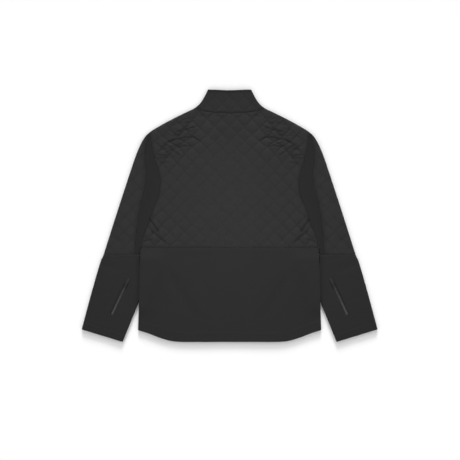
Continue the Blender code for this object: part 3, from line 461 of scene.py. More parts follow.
# %% The layer itself
class Layer:
    """One layer of cloth on the wearer's right; the left is its mirror image."""

    def __init__(self, runs, upper, rise=level, crown=level, quilt=0.0, extra=None, shades=(),
                 cell=4.2, hole=None):
        self.upper, self.rise, self.crown = upper, rise, crown
        self.quilt, self.extra, self.cell, self.hole = quilt, extra, cell, hole
        self.shades = shades    # (line, reach, strength) of the painted shade beside its edges
        self.places, self.kinds = joined(runs)
        self.rounds = [(line, 0.0) for kind, line in runs if kind == "fold"]
        self.rounds += [(line, HALF_GAP) for kind, line in runs if kind == "curl"]
        self.seams = [line for kind, line in runs if kind == "seam"]
        if hole is not None:
            self.seams.append(np.vstack([hole, hole[:1]]))
        self.shaped = [line for line, _ in self.rounds] + self.seams
        self.closed = np.vstack([self.places, self.places[:1]])
        self.plan = self.triangles()

    def area(self):
        return 0.5 * abs(turning(self.places))

    def relief(self, places, side):
        """Height over the plain layer, with the cushions, seams and creases."""
        to_seam = np.min([away(places, line) for line in self.seams], axis=0)
        dip = SEAM_DEPTH * np.exp(-(to_seam / SEAM_WIDTH) ** 2)
        edge = smooth(np.minimum(to_seam, self.to_round(places)[0]) / QUILT_EDGE_FADE)
        if not self.upper:
            groove = UNDER_GROOVE * grooves(places) * edge if self.quilt else 0.0
            return UNDER_DIP * dip + groove
        height = self.crown(places) - dip + edge * unevenness(places, side)
        if self.quilt:
            height += edge * (self.quilt * loft(places) * cushions(places) + bunching(places, side))
        if self.extra:
            height += self.extra(places)
        return height

    def to_round(self, places):
        """Distance to the nearest rounded edge, and its gap to the other layer."""
        distance, gap = np.full(len(places), 1e9), np.zeros(len(places))
        for line, width in self.rounds:
            found = away(places, line)
            gap = np.where(found < distance, width, gap)
            distance = np.minimum(distance, found)
        return distance, gap

    def height(self, places, side):
        """Height of the cloth's outer face over the surface."""
        distance, gap = self.to_round(places)
        distance = np.where(distance < TOUCHING, 0.0, distance)
        radius = HALF_HEIGHT - gap
        turn = np.sqrt(1.0 - np.clip(1.0 - distance / radius, 0.0, 1.0) ** 2)
        way = 1.0 if self.upper else -1.0
        plain = HALF_HEIGHT + way * (gap + radius * turn) + self.rise(places)
        return plain + turn * self.relief(places, side)

    def quilt_range(self):
        """First and last stitch line of each family that may cross the layer."""
        low, high = self.places.min(axis=0), self.places.max(axis=0)
        ups = (low[1] - QUILT_MARGIN, high[1] + QUILT_MARGIN)
        numbers = quilt_numbers(np.array([(out, up) for out in (low[0], high[0]) for up in ups]))
        return np.floor(numbers.min(axis=0)) - 1, np.ceil(numbers.max(axis=0)) + 1

    def grid(self):
        """Inner points: on the quilting's own grid, or in staggered rows."""
        if self.quilt:
            cells = QUILT_CELLS if self.upper else QUILT_CELLS * 3 // 4
            axes = [np.arange(a * cells, b * cells + 1) / cells for a, b in zip(*self.quilt_range())]
            return from_numbers(np.stack(np.meshgrid(*axes), axis=-1).reshape(-1, 2))
        low, high = self.places.min(axis=0), self.places.max(axis=0)
        rise = self.cell * math.sqrt(0.75)
        rows = np.arange(math.floor(low[1] / rise), math.ceil(high[1] / rise) + 1)
        columns = np.arange(math.floor(low[0] / self.cell) - 1, math.ceil(high[0] / self.cell) + 1)
        column, row = (axis.ravel() for axis in np.meshgrid(columns, rows))
        return np.column_stack([(column + 0.5 * (row % 2)) * self.cell, row * rise])

    def edge_rows(self):
        """Points in rows beside the edges, which shape seams and rounds."""
        before, after = np.roll(self.places, 1, axis=0), np.roll(self.places, -1, axis=0)
        along = after - before
        inward = np.column_stack([-along[:, 1], along[:, 0]]) / np.linalg.norm(along, axis=1)[:, None]
        found = []
        for i, kind in enumerate(self.kinds):
            around = {kind, self.kinds[i - 1]}
            if around == {"middle"}:
                continue
            rows = ROUND_ROWS if around & {"fold", "curl"} else SEAM_ROWS
            found += [(*(self.places[i] + depth * inward[i]), depth) for depth in rows]
        return np.array(found)

    def triangles(self):
        """Plan positions and triangles, with the outline's points first."""
        loop = self.places
        rows = self.edge_rows()
        rows = rows[inside(rows[:, :2], loop)]
        rows = rows[away(rows[:, :2], self.closed) > ROW_CLEAR * rows[:, 2]][:, :2]
        grid = self.grid()
        low, high = loop.min(axis=0), loop.max(axis=0)
        grid = grid[np.all((grid > low) & (grid < high), axis=1)]
        grid = grid[inside(grid, loop)]
        to_shaped = np.min([away(grid, line) for line in self.shaped], axis=0)
        grid = grid[(away(grid, self.closed) > GRID_CLEAR) & (to_shaped > SHAPED_CLEAR)]
        places = np.vstack([loop, rows, grid])
        count, edges = len(loop), []
        if self.hole is not None:
            places = np.vstack([places[~inside(places, self.hole)], self.hole])
            last = len(places)
            first = last - len(self.hole)
            edges = [(i, i + 1 if i + 1 < last else first) for i in range(first, last)]
        found = delaunay_2d_cdt([Vector(p) for p in places], edges, [list(range(count))], 1, 1e-3)
        corners, faces, sources, face_sources = found[0], found[2], found[3], found[5]
        kept = np.array([face for face, source in zip(faces, face_sources) if source])
        result = np.array([(p.x, p.y) for p in corners])
        if self.hole is not None:
            kept = kept[~inside(result[kept].mean(axis=1), self.hole)]
        for index, origins in enumerate(sources):
            if origins and origins[0] < count:
                result[index] = loop[origins[0]]
        return result, kept


# %% [markdown]
# ## From layers to pieces
# A piece is one layer, or two layers that meet in a fold. Pieces on the centre line are drawn as a
# half and mirrored. The plan is the same left and right, but heights are worked out on each side,
# so that the jacket is a little uneven. Solidify then gives the sheet its wall, inwards.

# %% Mesh building
BROAD_SHADE = 0.10          # share of a broad fold's depth that is painted as shade
CREASE_MOST, PUCKER_MOST, BROAD_MOST = 1.2, 0.7, 1.5
PUCKER_SHADE = 1.4


def hollows(layer, plan, side):
    """How deep in a crease or beside an edge each point lies; the finishes darken it there as painted
    shade.
    """
    depth = np.clip(-folds(plan, ARMHOLE_FOLDS + SHOULDER_FOLDS), 0.0, CREASE_MOST)
    depth += np.clip(-PUCKER_SHADE * bunching(plan, side), 0.0, PUCKER_MOST)
    depth += BROAD_SHADE * np.clip(-folds(plan, BODY_FOLDS), 0.0, BROAD_MOST)
    depth *= layer.upper
    for line, reach, strength in layer.shades:
        depth += strength * np.exp(-(away(plan, line) / reach) ** 2)
    return depth


def stacked(parts):
    """Several meshes as one; each is points, triangles and the numbers of its points."""
    starts = np.cumsum([0] + [len(points) for points, _, _ in parts])
    faces = [part[1] + start for part, start in zip(parts, starts)]
    points, numbers = (np.vstack([part[i] for part in parts]) for i in (0, 2))
    return points, np.vstack(faces), numbers


def half_mesh(layers, side):
    """Points in millimetres, triangles facing outwards, quilting numbers and the depth of painted shade.
    """
    parts = []
    for layer in layers:
        plan, triangles = layer.plan
        points = np.column_stack([side * plan[:, 0], plan[:, 1], layer.height(plan, side)])
        outward = layer.upper == (side > 0)
        numbers = np.column_stack([quilt_numbers(plan), hollows(layer, plan, side)])
        parts.append((points, triangles if outward else triangles[:, ::-1], numbers))
    return stacked(parts)


def welded(points, faces, numbers):
    """Joins points that lie in one place, and leaves unused ones out."""
    used = np.unique(faces)
    keys = np.round(points[used], 3) + 0.0
    _, first, inverse = np.unique(keys, axis=0, return_index=True, return_inverse=True)
    lookup = np.zeros(len(points), int)
    lookup[used] = inverse.ravel()
    faces = lookup[faces]
    one, two, three = faces.T
    distinct = (one != two) & (two != three) & (one != three)
    return points[used][first], faces[distinct], numbers[used][first]


def new_object(name, data):
    """An object in the scene for a mesh, a lamp or a camera."""
    item = bpy.data.objects.new(name, data)
    bpy.context.scene.collection.objects.link(item)
    return item


def cloth_object(name, parts, wall, finish):
    """An object from one or two mirrored halves, with its wall."""
    points, faces, numbers = welded(*stacked(parts))
    mesh = bpy.data.meshes.new(name)
    mesh.from_pydata((points * MM).tolist(), [], faces.tolist())
    mesh.validate()
    uv_map = mesh.uv_layers.new(name="quilting")
    corner = np.zeros(len(mesh.loops), int)
    mesh.loops.foreach_get("vertex_index", corner)
    uv_map.data.foreach_set("uv", numbers[corner, :2].astype(np.float32).ravel())
    # The mesh carries the depth of painted shade for its finish.
    crease = mesh.attributes.new("crease", "FLOAT", "POINT")
    crease.data.foreach_set("value", numbers[:, 2].astype(np.float32))
    mesh.materials.append(finish)
    mesh.shade_smooth()
    item = new_object(name, mesh)
    solid = item.modifiers.new("wall", "SOLIDIFY")
    solid.thickness, solid.offset = wall * MM, -1.0
    return item


def sewn(node, layers, sides, cloth):
    """Makes a piece, attaches it to the jacket and hides its solid; the area of its flat cut is worked
    out but not used.
    """
    wall, finish, slot = cloth
    item = cloth_object(f"{node}_cloth", [half_mesh(layers, side) for side in sides], wall, finish)
    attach(item, JACKET)
    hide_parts(node)
    area = len(sides) * sum(layer.area() for layer in layers)


def make_whole(node, layers, cloth):
    """A piece on the centre line."""
    sewn(node, layers, (1, -1), cloth)


def make_pair(node, layers, cloth):
    """The same piece on the wearer's right and left."""
    sewn(f"{node}_right", layers, (1,), cloth)
    sewn(f"{node}_left", layers, (-1,), cloth)


# %% [markdown]
# ## A small language for shaders
# A procedural finish is a sum of small patterns. Written as nodes it is a tangle, and written as
# sums it is short, so a socket is wrapped in a class whose plus, minus and times add Math nodes.


# %% Sockets with arithmetic
class Value:
    """A number that varies over a surface."""

    def __init__(self, tree, socket):
        self.tree, self.socket = tree, socket

    def maths(self, operation, *others):
        sockets = {i: other for i, other in enumerate(others)}
        return self.tree.node("ShaderNodeMath", {"operation": operation}, sockets)

    def __add__(self, other):
        return self.maths("ADD", self, other)

    def __sub__(self, other):
        return self.maths("SUBTRACT", self, other)

    def __mul__(self, other):
        return self.maths("MULTIPLY", self, other)

    def __truediv__(self, other):
        return self.maths("DIVIDE", self, other)

    def __rsub__(self, other):
        return self.maths("SUBTRACT", other, self)

    __radd__ = __add__
    __rmul__ = __mul__

    def wave(self, length):
        """A sine wave of a given wavelength."""
        return self.maths("SINE", self * (2.0 * math.pi / length))

    def size(self):
        return self.maths("ABSOLUTE", self)

    def power(self, exponent):
        return self.maths("POWER", self, exponent)

    def above(self, limit):
        """1 above the limit, and 0 below it."""
        return self.maths("GREATER_THAN", self, limit)


class Tree:
    """Adds nodes: the settings are made first, then the values or links of the sockets."""

    def __init__(self, nodes_and_links):
        self.tree = nodes_and_links

    def node(self, kind, settings=None, sockets=None, output=0):
        made = self.tree.nodes.new(kind)
        for name, value in (settings or {}).items():
            setattr(made, name, value)
        for name, value in (sockets or {}).items():
            if isinstance(value, Value):
                self.tree.links.new(value.socket, made.inputs[name])
            else:
                made.inputs[name].default_value = value
        return Value(self, made.outputs[output])

    def split(self, value):
        """The three numbers of a vector."""
        made = self.tree.nodes.new("ShaderNodeSeparateXYZ")
        self.tree.links.new(value.socket, made.inputs[0])
        return [Value(self, socket) for socket in made.outputs]


class Finish(Tree):
    """A material around one Principled shader."""

    def __init__(self, name, **constants):
        self.material = bpy.data.materials.new(name)
        self.material.use_nodes = True
        super().__init__(self.material.node_tree)
        self.shader = self.tree.nodes["Principled BSDF"]
        for socket, value in constants.items():
            self.shader.inputs[socket.replace("_", " ")].default_value = value
        self.place = self.node("ShaderNodeTexCoord", output=3)
        self.x, self.y, _ = self.split(self.place)

    def noise(self, length, detail=2.0):
        """Soft noise around 0.5, with patches of about the given length in metres."""
        sockets = {"Vector": self.place, "Scale": 1.0 / length, "Detail": detail, "Roughness": 0.55}
        return self.node("ShaderNodeTexNoise", {"noise_dimensions": "3D"}, sockets)

    def crease(self):
        """How deep in a crease or beside a seam a point lies, as its mesh says; it sets the painted
        shade.
        """
        return self.node("ShaderNodeAttribute", {"attribute_name": "crease"}, output=2)

    def colour(self, dark, light, share):
        """Base Color between two colours."""
        mixed = self.node("ShaderNodeMix", {"data_type": "RGBA", "clamp_factor": True},
                          {0: share, 6: (*dark, 1.0), 7: (*light, 1.0)}, output=2)
        self.set("Base Color", mixed)

    def within(self, value):
        """A value kept between 0 and 1."""
        return self.node("ShaderNodeClamp", None, {"Value": value})

    def set(self, socket, value):
        self.tree.links.new(value.socket, self.shader.inputs[socket])

    def bump(self, height, distance):
        """Relief from a height between 0 and 1; distance is in metres."""
        self.set("Normal", self.node("ShaderNodeBump", None,
                                     {"Height": height, "Distance": distance, "Strength": 1.0}))


# %% [markdown]
# ## Cloths
# The quilted cloth is a thin, tightly woven shell with a faint silky sheen. Its threads go over
# and under each other, and beside a stitch line it puckers. The softshell is a stretchy knit
# with fine diagonal ribs and hardly any gloss. Both are almost black, and never quite even.
# Painted light makes both paler in the middle of the back, and painted shade darkens them in
# creases and beside seams.

# %% Cloth materials
DARKEST, LIGHTEST = 0.42, 1.24      # of a cloth's mean grey, where its pattern ends
LIGHT_POOL_UP, LIGHT_POOL_FALL = 0.04, 2.0      # middle of the painted pool of light, and its fall in each metre
LINES_FROM, LINES_RISE = 0.06, 8.0  # painted shade on the stitch lines grows beyond this, and this fast in each metre
THREAD_PITCH, RIB_PITCH = 0.0006, 0.0034


def grey(value):
    return value, value, value


def woven(finish, pitch):
    """Threads over and under each other, between 0 and 1."""
    warp = finish.x.wave(2 * pitch)
    weft = finish.y.wave(2 * pitch)
    over = (warp * weft).above(0.0)
    return over * warp.size() + (1.0 - over) * weft.size()


def painted_light_pool(finish):
    """A painted pool of light: 1 in the middle of the back, falling evenly to about 0 at the cuffs."""
    up = finish.y - LIGHT_POOL_UP
    return 1.0 - LIGHT_POOL_FALL * (finish.x * finish.x + up * up).power(0.5)


def quilted_cloth(name, mean):
    """The shell: painted shade darkens it in creases and beside seams and, off the middle of the back,
    along the stitch lines.
    """
    finish = Finish(name, Roughness=0.62, Specular_IOR_Level=0.15, Sheen_Weight=0.04,
                    Sheen_Roughness=0.45)
    patches = finish.noise(0.045)
    fibres = finish.noise(0.0022, 4.0)
    first, second, _ = finish.split(finish.node("ShaderNodeUVMap", {"uv_map": "quilting"}))
    near = (1.0 - first.wave(2.0).size()).power(6.0) + (1.0 - second.wave(2.0).size()).power(6.0)
    outer = finish.within((finish.x.size() - LINES_FROM) * LINES_RISE)
    # Painted shade: darker in creases, beside seams and along the stitch lines, more so off the middle
    # of the back.
    deep = finish.crease() * 0.55 + near * (0.05 + 0.27 * outer)
    # Painted light: the shell is paler in the middle of the back.
    finish.colour(grey(DARKEST * mean), grey(LIGHTEST * mean),
                  0.45 + 0.29 * painted_light_pool(finish) + patches * 0.15 + fibres * 0.15 - deep)
    finish.set("Roughness", 0.50 + 0.22 * patches)
    puckers = first.wave(0.21) * second.wave(0.23) * finish.noise(0.012)
    finish.bump(woven(finish, THREAD_PITCH) * 0.10 + fibres * 0.16 + puckers * near * 0.5
                + finish.noise(0.009) * 0.25, 0.0009)
    return finish.material


def softshell_cloth(name, mean):
    """The plain knit, with diagonal ribs, painted shade in creases and beside edges, and painted light
    in the middle of the back.
    """
    finish = Finish(name, Roughness=0.85, Specular_IOR_Level=0.11, Sheen_Weight=0.05,
                    Sheen_Roughness=0.6)
    patches = finish.noise(0.06)
    fibres = finish.noise(0.0018, 5.0)
    ribs = (finish.x + finish.y * 0.8).wave(RIB_PITCH).size()
    # Painted light makes the knit paler in the middle of the back, and painted shade darkens it in
    # creases and beside edges.
    finish.colour(grey(DARKEST * mean), grey(LIGHTEST * mean),
                  0.38 + 0.42 * painted_light_pool(finish) + patches * 0.13 + fibres * 0.13 + ribs * 0.05
                  - finish.crease() * 0.5)
    finish.set("Roughness", 0.74 + 0.16 * patches)
    finish.bump(ribs * 0.16 + fibres * 0.2 + finish.noise(0.014) * 0.25, 0.0007)
    return finish.material


QUILTED = (QUILTED_WALL, quilted_cloth("quilted shell cloth", 0.0186), "quilted_shell")
COLLAR = (COLLAR_WALL, quilted_cloth("collar cloth", 0.0147), "quilted_shell")
PLAIN = (SOFTSHELL_WALL, softshell_cloth("softshell", 0.0155), "softshell")
# The armhole panel is the same softshell painted darker, as painted shade in its valley at the armhole.
SHADED_PANEL = (SOFTSHELL_WALL, softshell_cloth("armhole softshell", 0.0121), "softshell")

# %% [markdown]
# ## The body
# The back is two pieces, with the waist seam between them, and each half of the front is two more.
# Every seam keeps the 0.3 mm gap of the solids, and the cloth dips into it on both sides.

# %% Body pieces
shoulder = stretch(OUTLINE, NECK_CORNER_UP - HALF_GAP, SHOULDER_POINT_UP + HALF_GAP)
waist_up, waist_down = WAIST_SEAM_UP + HALF_GAP, WAIST_SEAM_UP - HALF_GAP
QUILT_RISE = 2.8


def ending_at(line, up):
    """The same line with its last point at a height."""
    line = line.copy()
    line[-1, 1] = up
    return line


def back_crown(places):
    """The creases of the back."""
    return folds(places, BODY_FOLDS + ARMHOLE_FOLDS + SHOULDER_FOLDS)


WAIST_ROW = 6.5             # stitch row below the waist seam
HEM_ROW = 30.0              # stitch row above the hem
ROW_GROOVE_WIDTH = 1.5


def turned_in(distance, row, rise, groove, fade=3.0):
    """An edge that is turned in is thicker as far as its stitch row, which sinks."""
    past = distance - row
    return rise * (1.0 - smooth(past / fade)) - groove * np.exp(-(past / ROW_GROOVE_WIDTH) ** 2)


def lower_rows(places):
    """The cloth sinks at its stitch rows, and swells below the upper one."""
    below = WAIST_SEAM_UP - places[:, 1]
    row = 0.35 * np.exp(-((below - WAIST_ROW) / 1.3) ** 2)
    swell = 0.40 * np.exp(-((below - WAIST_ROW - 3.2) / 2.4) ** 2)
    return swell - row + turned_in(away(places, HEM_LINE), HEM_ROW, 0.35, 0.4)


arm = ending_at(moved(BACK_ARM_LINE, out=-HALF_GAP), waist_up)
back_quilted = Layer([
    ("seam", moved(BACK_NECK_LINE, up=-HALF_GAP)), ("curl", shoulder), ("seam", arm),
    ("seam", straight(arm[-1], (0.0, waist_up))),
    ("middle", straight((0.0, waist_up), (0.0, BACK_NECK[0][1] - HALF_GAP))),
], True, body_rise, back_crown, QUILT_RISE,
    shades=[(BACK_NECK_LINE, 11.0, 0.8), (BACK_NECK_LINE, 3.5, 0.45), (BACK_ARM_LINE, 6.0, 0.5)])
make_whole("back_quilted", [back_quilted], QUILTED)

side_line = stretch(SIDE_LINE, waist_down, SIDE[-1][1])
back_lower = Layer([
    ("seam", straight((0.0, waist_down), side_line[0])), ("curl", side_line), ("free", HEM_LINE),
    ("middle", straight(HEM_LINE[-1], (0.0, waist_down))),
], True, body_rise, back_crown, extra=lower_rows, shades=[(SIDE_LINE, 5.0, 0.2)])
make_whole("back_lower", [back_lower], PLAIN)

# %% Front pieces
arm = ending_at(moved(FRONT_ARM_LINE, out=-HALF_GAP), waist_up)
front_edge = (FRONT_SLOT, NECK_CORNER_UP - FRONT_NECK_DROP - HALF_GAP)
neck = beyond(moved(FRONT_NECK_LINE, out=HALF_GAP, up=-HALF_GAP), FRONT_SLOT)[::-1]
front_quilted = Layer([
    ("seam", straight((FRONT_SLOT, waist_up), front_edge)), ("seam", np.vstack([[front_edge], neck])),
    ("curl", shoulder), ("seam", arm), ("seam", straight(arm[-1], (FRONT_SLOT, waist_up))),
], False, body_rise, quilt=QUILT_RISE)
make_pair("front_quilted", [front_quilted], QUILTED)

hem = np.vstack([beyond(HEM_LINE, FRONT_SLOT), [(FRONT_SLOT, HEM[-1][1])]])
front_lower = Layer([
    ("seam", straight((FRONT_SLOT, waist_down), side_line[0])), ("curl", side_line), ("free", hem),
    ("seam", straight(hem[-1], (FRONT_SLOT, waist_down))),
], False, body_rise, cell=6.0)
make_pair("front_lower", [front_lower], PLAIN)

# %% [markdown]
# ## The collar
# A stand collar lies folded double at its two sides. Its back layer faces us and its front layer
# dips to the zip. Both are drawn, and they meet in the fold at each side.

# %% Collar
COLLAR_QUILT = 2.0
COLLAR_ROW = 6.0            # stitch row below the collar's top edge


def collar_rows(places):
    """A stitch row below the top edge; the lower edge stands over the neck seam."""
    below = np.interp(places[:, 0], BACK_COLLAR_TOP[:, 0], BACK_COLLAR_TOP[:, 1]) - places[:, 1]
    lip = 0.3 * np.exp(-(away(places, BACK_NECK_LINE) / 12.0) ** 2)
    return turned_in(below, COLLAR_ROW, 0.45, 0.6, fade=2.5) + lip


collar_side = stretch(OUTLINE, OUTER_EDGE[0][1], NECK_CORNER_UP + HALF_GAP)
neck = moved(BACK_NECK_LINE, up=HALF_GAP)
collar_back = Layer([
    ("free", BACK_COLLAR_TOP), ("fold", collar_side), ("seam", neck[::-1]),
    ("middle", straight(neck[0], BACK_COLLAR_TOP[0])),
], True, body_rise, level, COLLAR_QUILT, extra=collar_rows,
    shades=[(moved(BACK_COLLAR_TOP, up=-COLLAR_ROW), 2.4, 0.7)])
front_neck = beyond(moved(FRONT_NECK_LINE, out=-HALF_GAP, up=HALF_GAP), FRONT_SLOT)
low_corner = (FRONT_SLOT, NECK_CORNER_UP - FRONT_NECK_DROP + HALF_GAP)
front_top = beyond(COLLAR_FRONT_TOP, FRONT_SLOT)
high_corner = (FRONT_SLOT, OUTER_EDGE[0][1] - FRONT_COLLAR_HEIGHT)
collar_front = Layer([
    ("fold", collar_side), ("seam", np.vstack([front_neck, [low_corner]])),
    ("seam", straight(low_corner, high_corner)),
    ("free", np.vstack([front_top, [high_corner]])[::-1]),
], False, body_rise, quilt=COLLAR_QUILT)
make_whole("collar", [collar_back, collar_front], COLLAR)

# %% [markdown]
# ## The sleeves
# A sleeve lies flat as two layers. Its quilted upper part wraps round the outer fold, a plain
# lens-shaped panel fills the way to the back armhole, and the plain forearm goes down to the cuff.

# %% Sleeve pieces
ridge = ending_at(moved(RIDGE_LINE, out=-HALF_GAP), SLEEVE_SEAM_UP + HALF_GAP)
panel_inner = stretch(INNER_LINE, WAIST_SEAM_UP, SLEEVE_SEAM_UP + HALF_GAP)[::-1]
underarm_panel = Layer([
    ("curl", stretch(OUTLINE, SHOULDER_POINT_UP - HALF_GAP, RIDGE_TOP_UP + HALF_GAP)),
    ("seam", ridge), ("seam", straight(ridge[-1], panel_inner[0])), ("curl", panel_inner),
    ("seam", moved(BACK_ARM_LINE, out=HALF_GAP)[::-1]),
], True, level, sleeve_crown, cell=3.4)
make_pair("underarm_panel", [underarm_panel], SHADED_PANEL)

SLEEVE_QUILT = 2.4
fold = stretch(OUTLINE, RIDGE_TOP_UP, SLEEVE_SEAM_UP + HALF_GAP)
ridge = ending_at(moved(RIDGE_LINE, out=HALF_GAP), SLEEVE_SEAM_UP + HALF_GAP)
sleeve_top = Layer([
    ("fold", fold), ("seam", straight(fold[-1], ridge[-1])), ("seam", ridge[::-1]),
], True, level, sleeve_crown, SLEEVE_QUILT, shades=[(RIDGE_LINE, 9.0, 0.55)])
sleeve_under = Layer([
    ("fold", fold), ("seam", straight(fold[-1], panel_inner[0])), ("curl", panel_inner),
    ("seam", moved(FRONT_ARM_LINE, out=HALF_GAP)[::-1]),
    ("curl", stretch(OUTLINE, SHOULDER_POINT_UP - HALF_GAP, RIDGE_TOP_UP)),
], False, level, quilt=SLEEVE_QUILT)
make_pair("sleeve_quilted", [sleeve_top, sleeve_under], QUILTED)

# %% [markdown]
# ## The forearm and its zip opening
# A short zip lets the cuff open over a glove. Its slot is a hole in the outline, so that the
# triangles go round it, and the cloth turns down a little at its edges as at a seam.

# %% Forearm pieces
CUFF_ROW = 22.0             # stitch row above the cuff
ZIP_LOW, ZIP_HIGH = np.array([360.0, -302.0]), np.array([318.0, -212.0])
ZIP_LENGTH = math.dist(ZIP_LOW, ZIP_HIGH)
ZIP_ALONG = (ZIP_HIGH - ZIP_LOW) / ZIP_LENGTH
ZIP_ACROSS = np.array([ZIP_ALONG[1], -ZIP_ALONG[0]])
SLOT_HALF, SLOT_END = 3.8, 0.3      # the slot's half width, and how far it passes the zip's ends


def by_zip(along, across):
    """A place given by its distances along a sleeve zip and to its side."""
    return ZIP_LOW + along * ZIP_ALONG + across * ZIP_ACROSS


def zip_rectangle(half, end):
    """A closed line round the zip, without its last point."""
    corners = [(-end, -half), (-end, half), (ZIP_LENGTH + end, half), (ZIP_LENGTH + end, -half)]
    corners = [by_zip(*corner) for corner in corners]
    return np.vstack([straight(a, b)[:-1] for a, b in zip(corners, corners[1:] + corners[:1])])


def forearm_rows(places):
    """Raised between the sleeve seam and its stitch row, and turned in at the cuff."""
    below = SLEEVE_SEAM_UP - places[:, 1]
    raised = 0.5 * smooth(below / 2.0) * (1.0 - smooth((below - WAIST_ROW + 1.5) / 3.0))
    to_cuff = away(places, np.array([CUFF_INNER, OUTER_EDGE[-1]]))
    return raised + turned_in(to_cuff, CUFF_ROW, 0.4, 0.4)


fold = stretch(OUTLINE, SLEEVE_SEAM_UP - HALF_GAP, OUTER_EDGE[-1][1])
seam_corner = (at_height(SIDE_LINE, SLEEVE_SEAM_UP) + INNER_OUT, SLEEVE_SEAM_UP - HALF_GAP)
inner = np.vstack([INNER_LINE[INNER_LINE[:, 1] < SLEEVE_SEAM_UP - 1.0], [seam_corner]])
forearm_runs = [
    ("fold", fold), ("free", straight(fold[-1], inner[0])), ("curl", inner),
    ("seam", straight(inner[-1], fold[0])),
]
forearm_top = Layer(forearm_runs, True, level, sleeve_crown, extra=forearm_rows,
                    hole=zip_rectangle(SLOT_HALF, SLOT_END))
forearm_under = Layer(forearm_runs, False, level, cell=6.0)
make_pair("sleeve_lower", [forearm_top, forearm_under], PLAIN)

# %% [markdown]
# ## Geometry Nodes for what repeats
# This jacket gets some six thousand stitches and a thousand teeth. Each is one tiny shape, set
# along lines by a node tree: lines become curves, curves are resampled at the pitch, and a shape
# is turned along the line at each point. The tree's result is then kept as a plain mesh.


# %% The tree that sets shapes along lines
class Group(Tree):
    """A Geometry Nodes tree with named sizes."""

    def __init__(self, name, sizes):
        self.group = bpy.data.node_groups.new(name, "GeometryNodeTree")
        super().__init__(self.group)
        sockets = self.group.interface
        sockets.new_socket("Lines", in_out="INPUT", socket_type="NodeSocketGeometry")
        for size in sizes:
            sockets.new_socket(size, in_out="INPUT", socket_type="NodeSocketFloat")
        sockets.new_socket("Finish", in_out="INPUT", socket_type="NodeSocketMaterial")
        sockets.new_socket("Mesh", in_out="OUTPUT", socket_type="NodeSocketGeometry")
        self.entry = self.group.nodes.new("NodeGroupInput")

    def given(self, name):
        return Value(self, self.entry.outputs[name])

    def ends_with(self, geometry):
        exit_node = self.group.nodes.new("NodeGroupOutput")
        self.group.links.new(geometry.socket, exit_node.inputs["Mesh"])


def along_lines(name, shape):
    """A tree that sets a shape along lines; "out" on the lines is the way off the cloth."""
    tree = Group(name, ["Pitch", "Length", "Width", "Height"])
    curves = tree.node("GeometryNodeMeshToCurve", None, {"Mesh": tree.given("Lines")})
    curves = tree.node("GeometryNodeResampleCurve", {"mode": "LENGTH"},
                       {"Curve": curves, "Length": tree.given("Pitch")})
    scale = tree.node("ShaderNodeCombineXYZ", None, {
        "X": tree.given("Length"), "Y": tree.given("Width"), "Z": tree.given("Height")})
    sized = tree.node("GeometryNodeTransform", None, {"Geometry": shape(tree), "Scale": scale})
    off_cloth = tree.node("GeometryNodeInputNamedAttribute", {"data_type": "FLOAT_VECTOR"},
                          {"Name": "out"})
    turned = tree.node("FunctionNodeAlignRotationToVector", {"axis": "X"},
                       {"Vector": tree.node("GeometryNodeInputTangent")})
    turned = tree.node("FunctionNodeAlignRotationToVector", {"axis": "Z", "pivot_axis": "X"},
                       {"Rotation": turned, "Vector": off_cloth})
    placed = tree.node("GeometryNodeInstanceOnPoints", None,
                       {"Points": curves, "Instance": sized, "Rotation": turned})
    real = tree.node("GeometryNodeRealizeInstances", None, {"Geometry": placed})
    tree.ends_with(tree.node("GeometryNodeSetMaterial", None,
                             {"Geometry": real, "Material": tree.given("Finish")}))
    return tree.group


def thread_shape(tree):
    """A stitch: a slim spindle, one unit long, with its ends along X."""
    ball = tree.node("GeometryNodeMeshUVSphere", None, {"Segments": 5, "Rings": 3, "Radius": 0.5})
    return tree.node("GeometryNodeTransform", None,
                     {"Geometry": ball, "Rotation": (0.0, 0.5 * math.pi, 0.0)})


def tooth_shape(tree):
    """A zip tooth: a short round bar across the line."""
    bar = tree.node("GeometryNodeMeshCylinder", None,
                    {"Vertices": 8, "Radius": 0.5, "Depth": 1.0})
    return tree.node("GeometryNodeTransform", None,
                     {"Geometry": bar, "Rotation": (0.5 * math.pi, 0.0, 0.0)})


stitch_tree = along_lines("stitches along lines", thread_shape)
tooth_tree = along_lines("teeth along lines", tooth_shape)


def set_along(name, lines, out, tree, sizes, finish):
    """Sets the tree's shape along lines of points in millimetres, as one plain mesh."""
    points = np.vstack(lines) * MM
    starts = np.cumsum([0] + [len(line) for line in lines])
    edges = [(i, i + 1) for a, b in zip(starts, starts[1:]) for i in range(a, b - 1)]
    guide_mesh = bpy.data.meshes.new(f"{name}_lines")
    guide_mesh.from_pydata(points.tolist(), edges, [])
    ways = guide_mesh.attributes.new("out", "FLOAT_VECTOR", "POINT")
    ways.data.foreach_set("vector", np.vstack(out).astype(np.float32).ravel())
    guide = new_object(f"{name}_lines", guide_mesh)
    maker = guide.modifiers.new("along", "NODES")
    maker.node_group = tree
    for item in tree.interface.items_tree:
        if item.in_out == "INPUT" and item.name in sizes:
            maker[item.identifier] = sizes[item.name] * MM
        if item.in_out == "INPUT" and item.name == "Finish":
            maker[item.identifier] = finish
    shown = guide.evaluated_get(bpy.context.evaluated_depsgraph_get())
    mesh = bpy.data.meshes.new_from_object(shown)
    bpy.data.objects.remove(guide)
    mesh.name = name
    if not mesh.materials:
        mesh.materials.append(finish)
    mesh.shade_smooth()
    item = new_object(name, mesh)
    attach(item, JACKET)
    print(f"{name}: {len(mesh.polygons)} faces on {len(lines)} lines")


# %% [markdown]
# ## Thread
# Polyester thread is twisted and a little glossier than the cloth. On the quilting it lies in the
# bottom of the creases, and along seams, hem, collar and cuffs it holds the cloth down in rows.

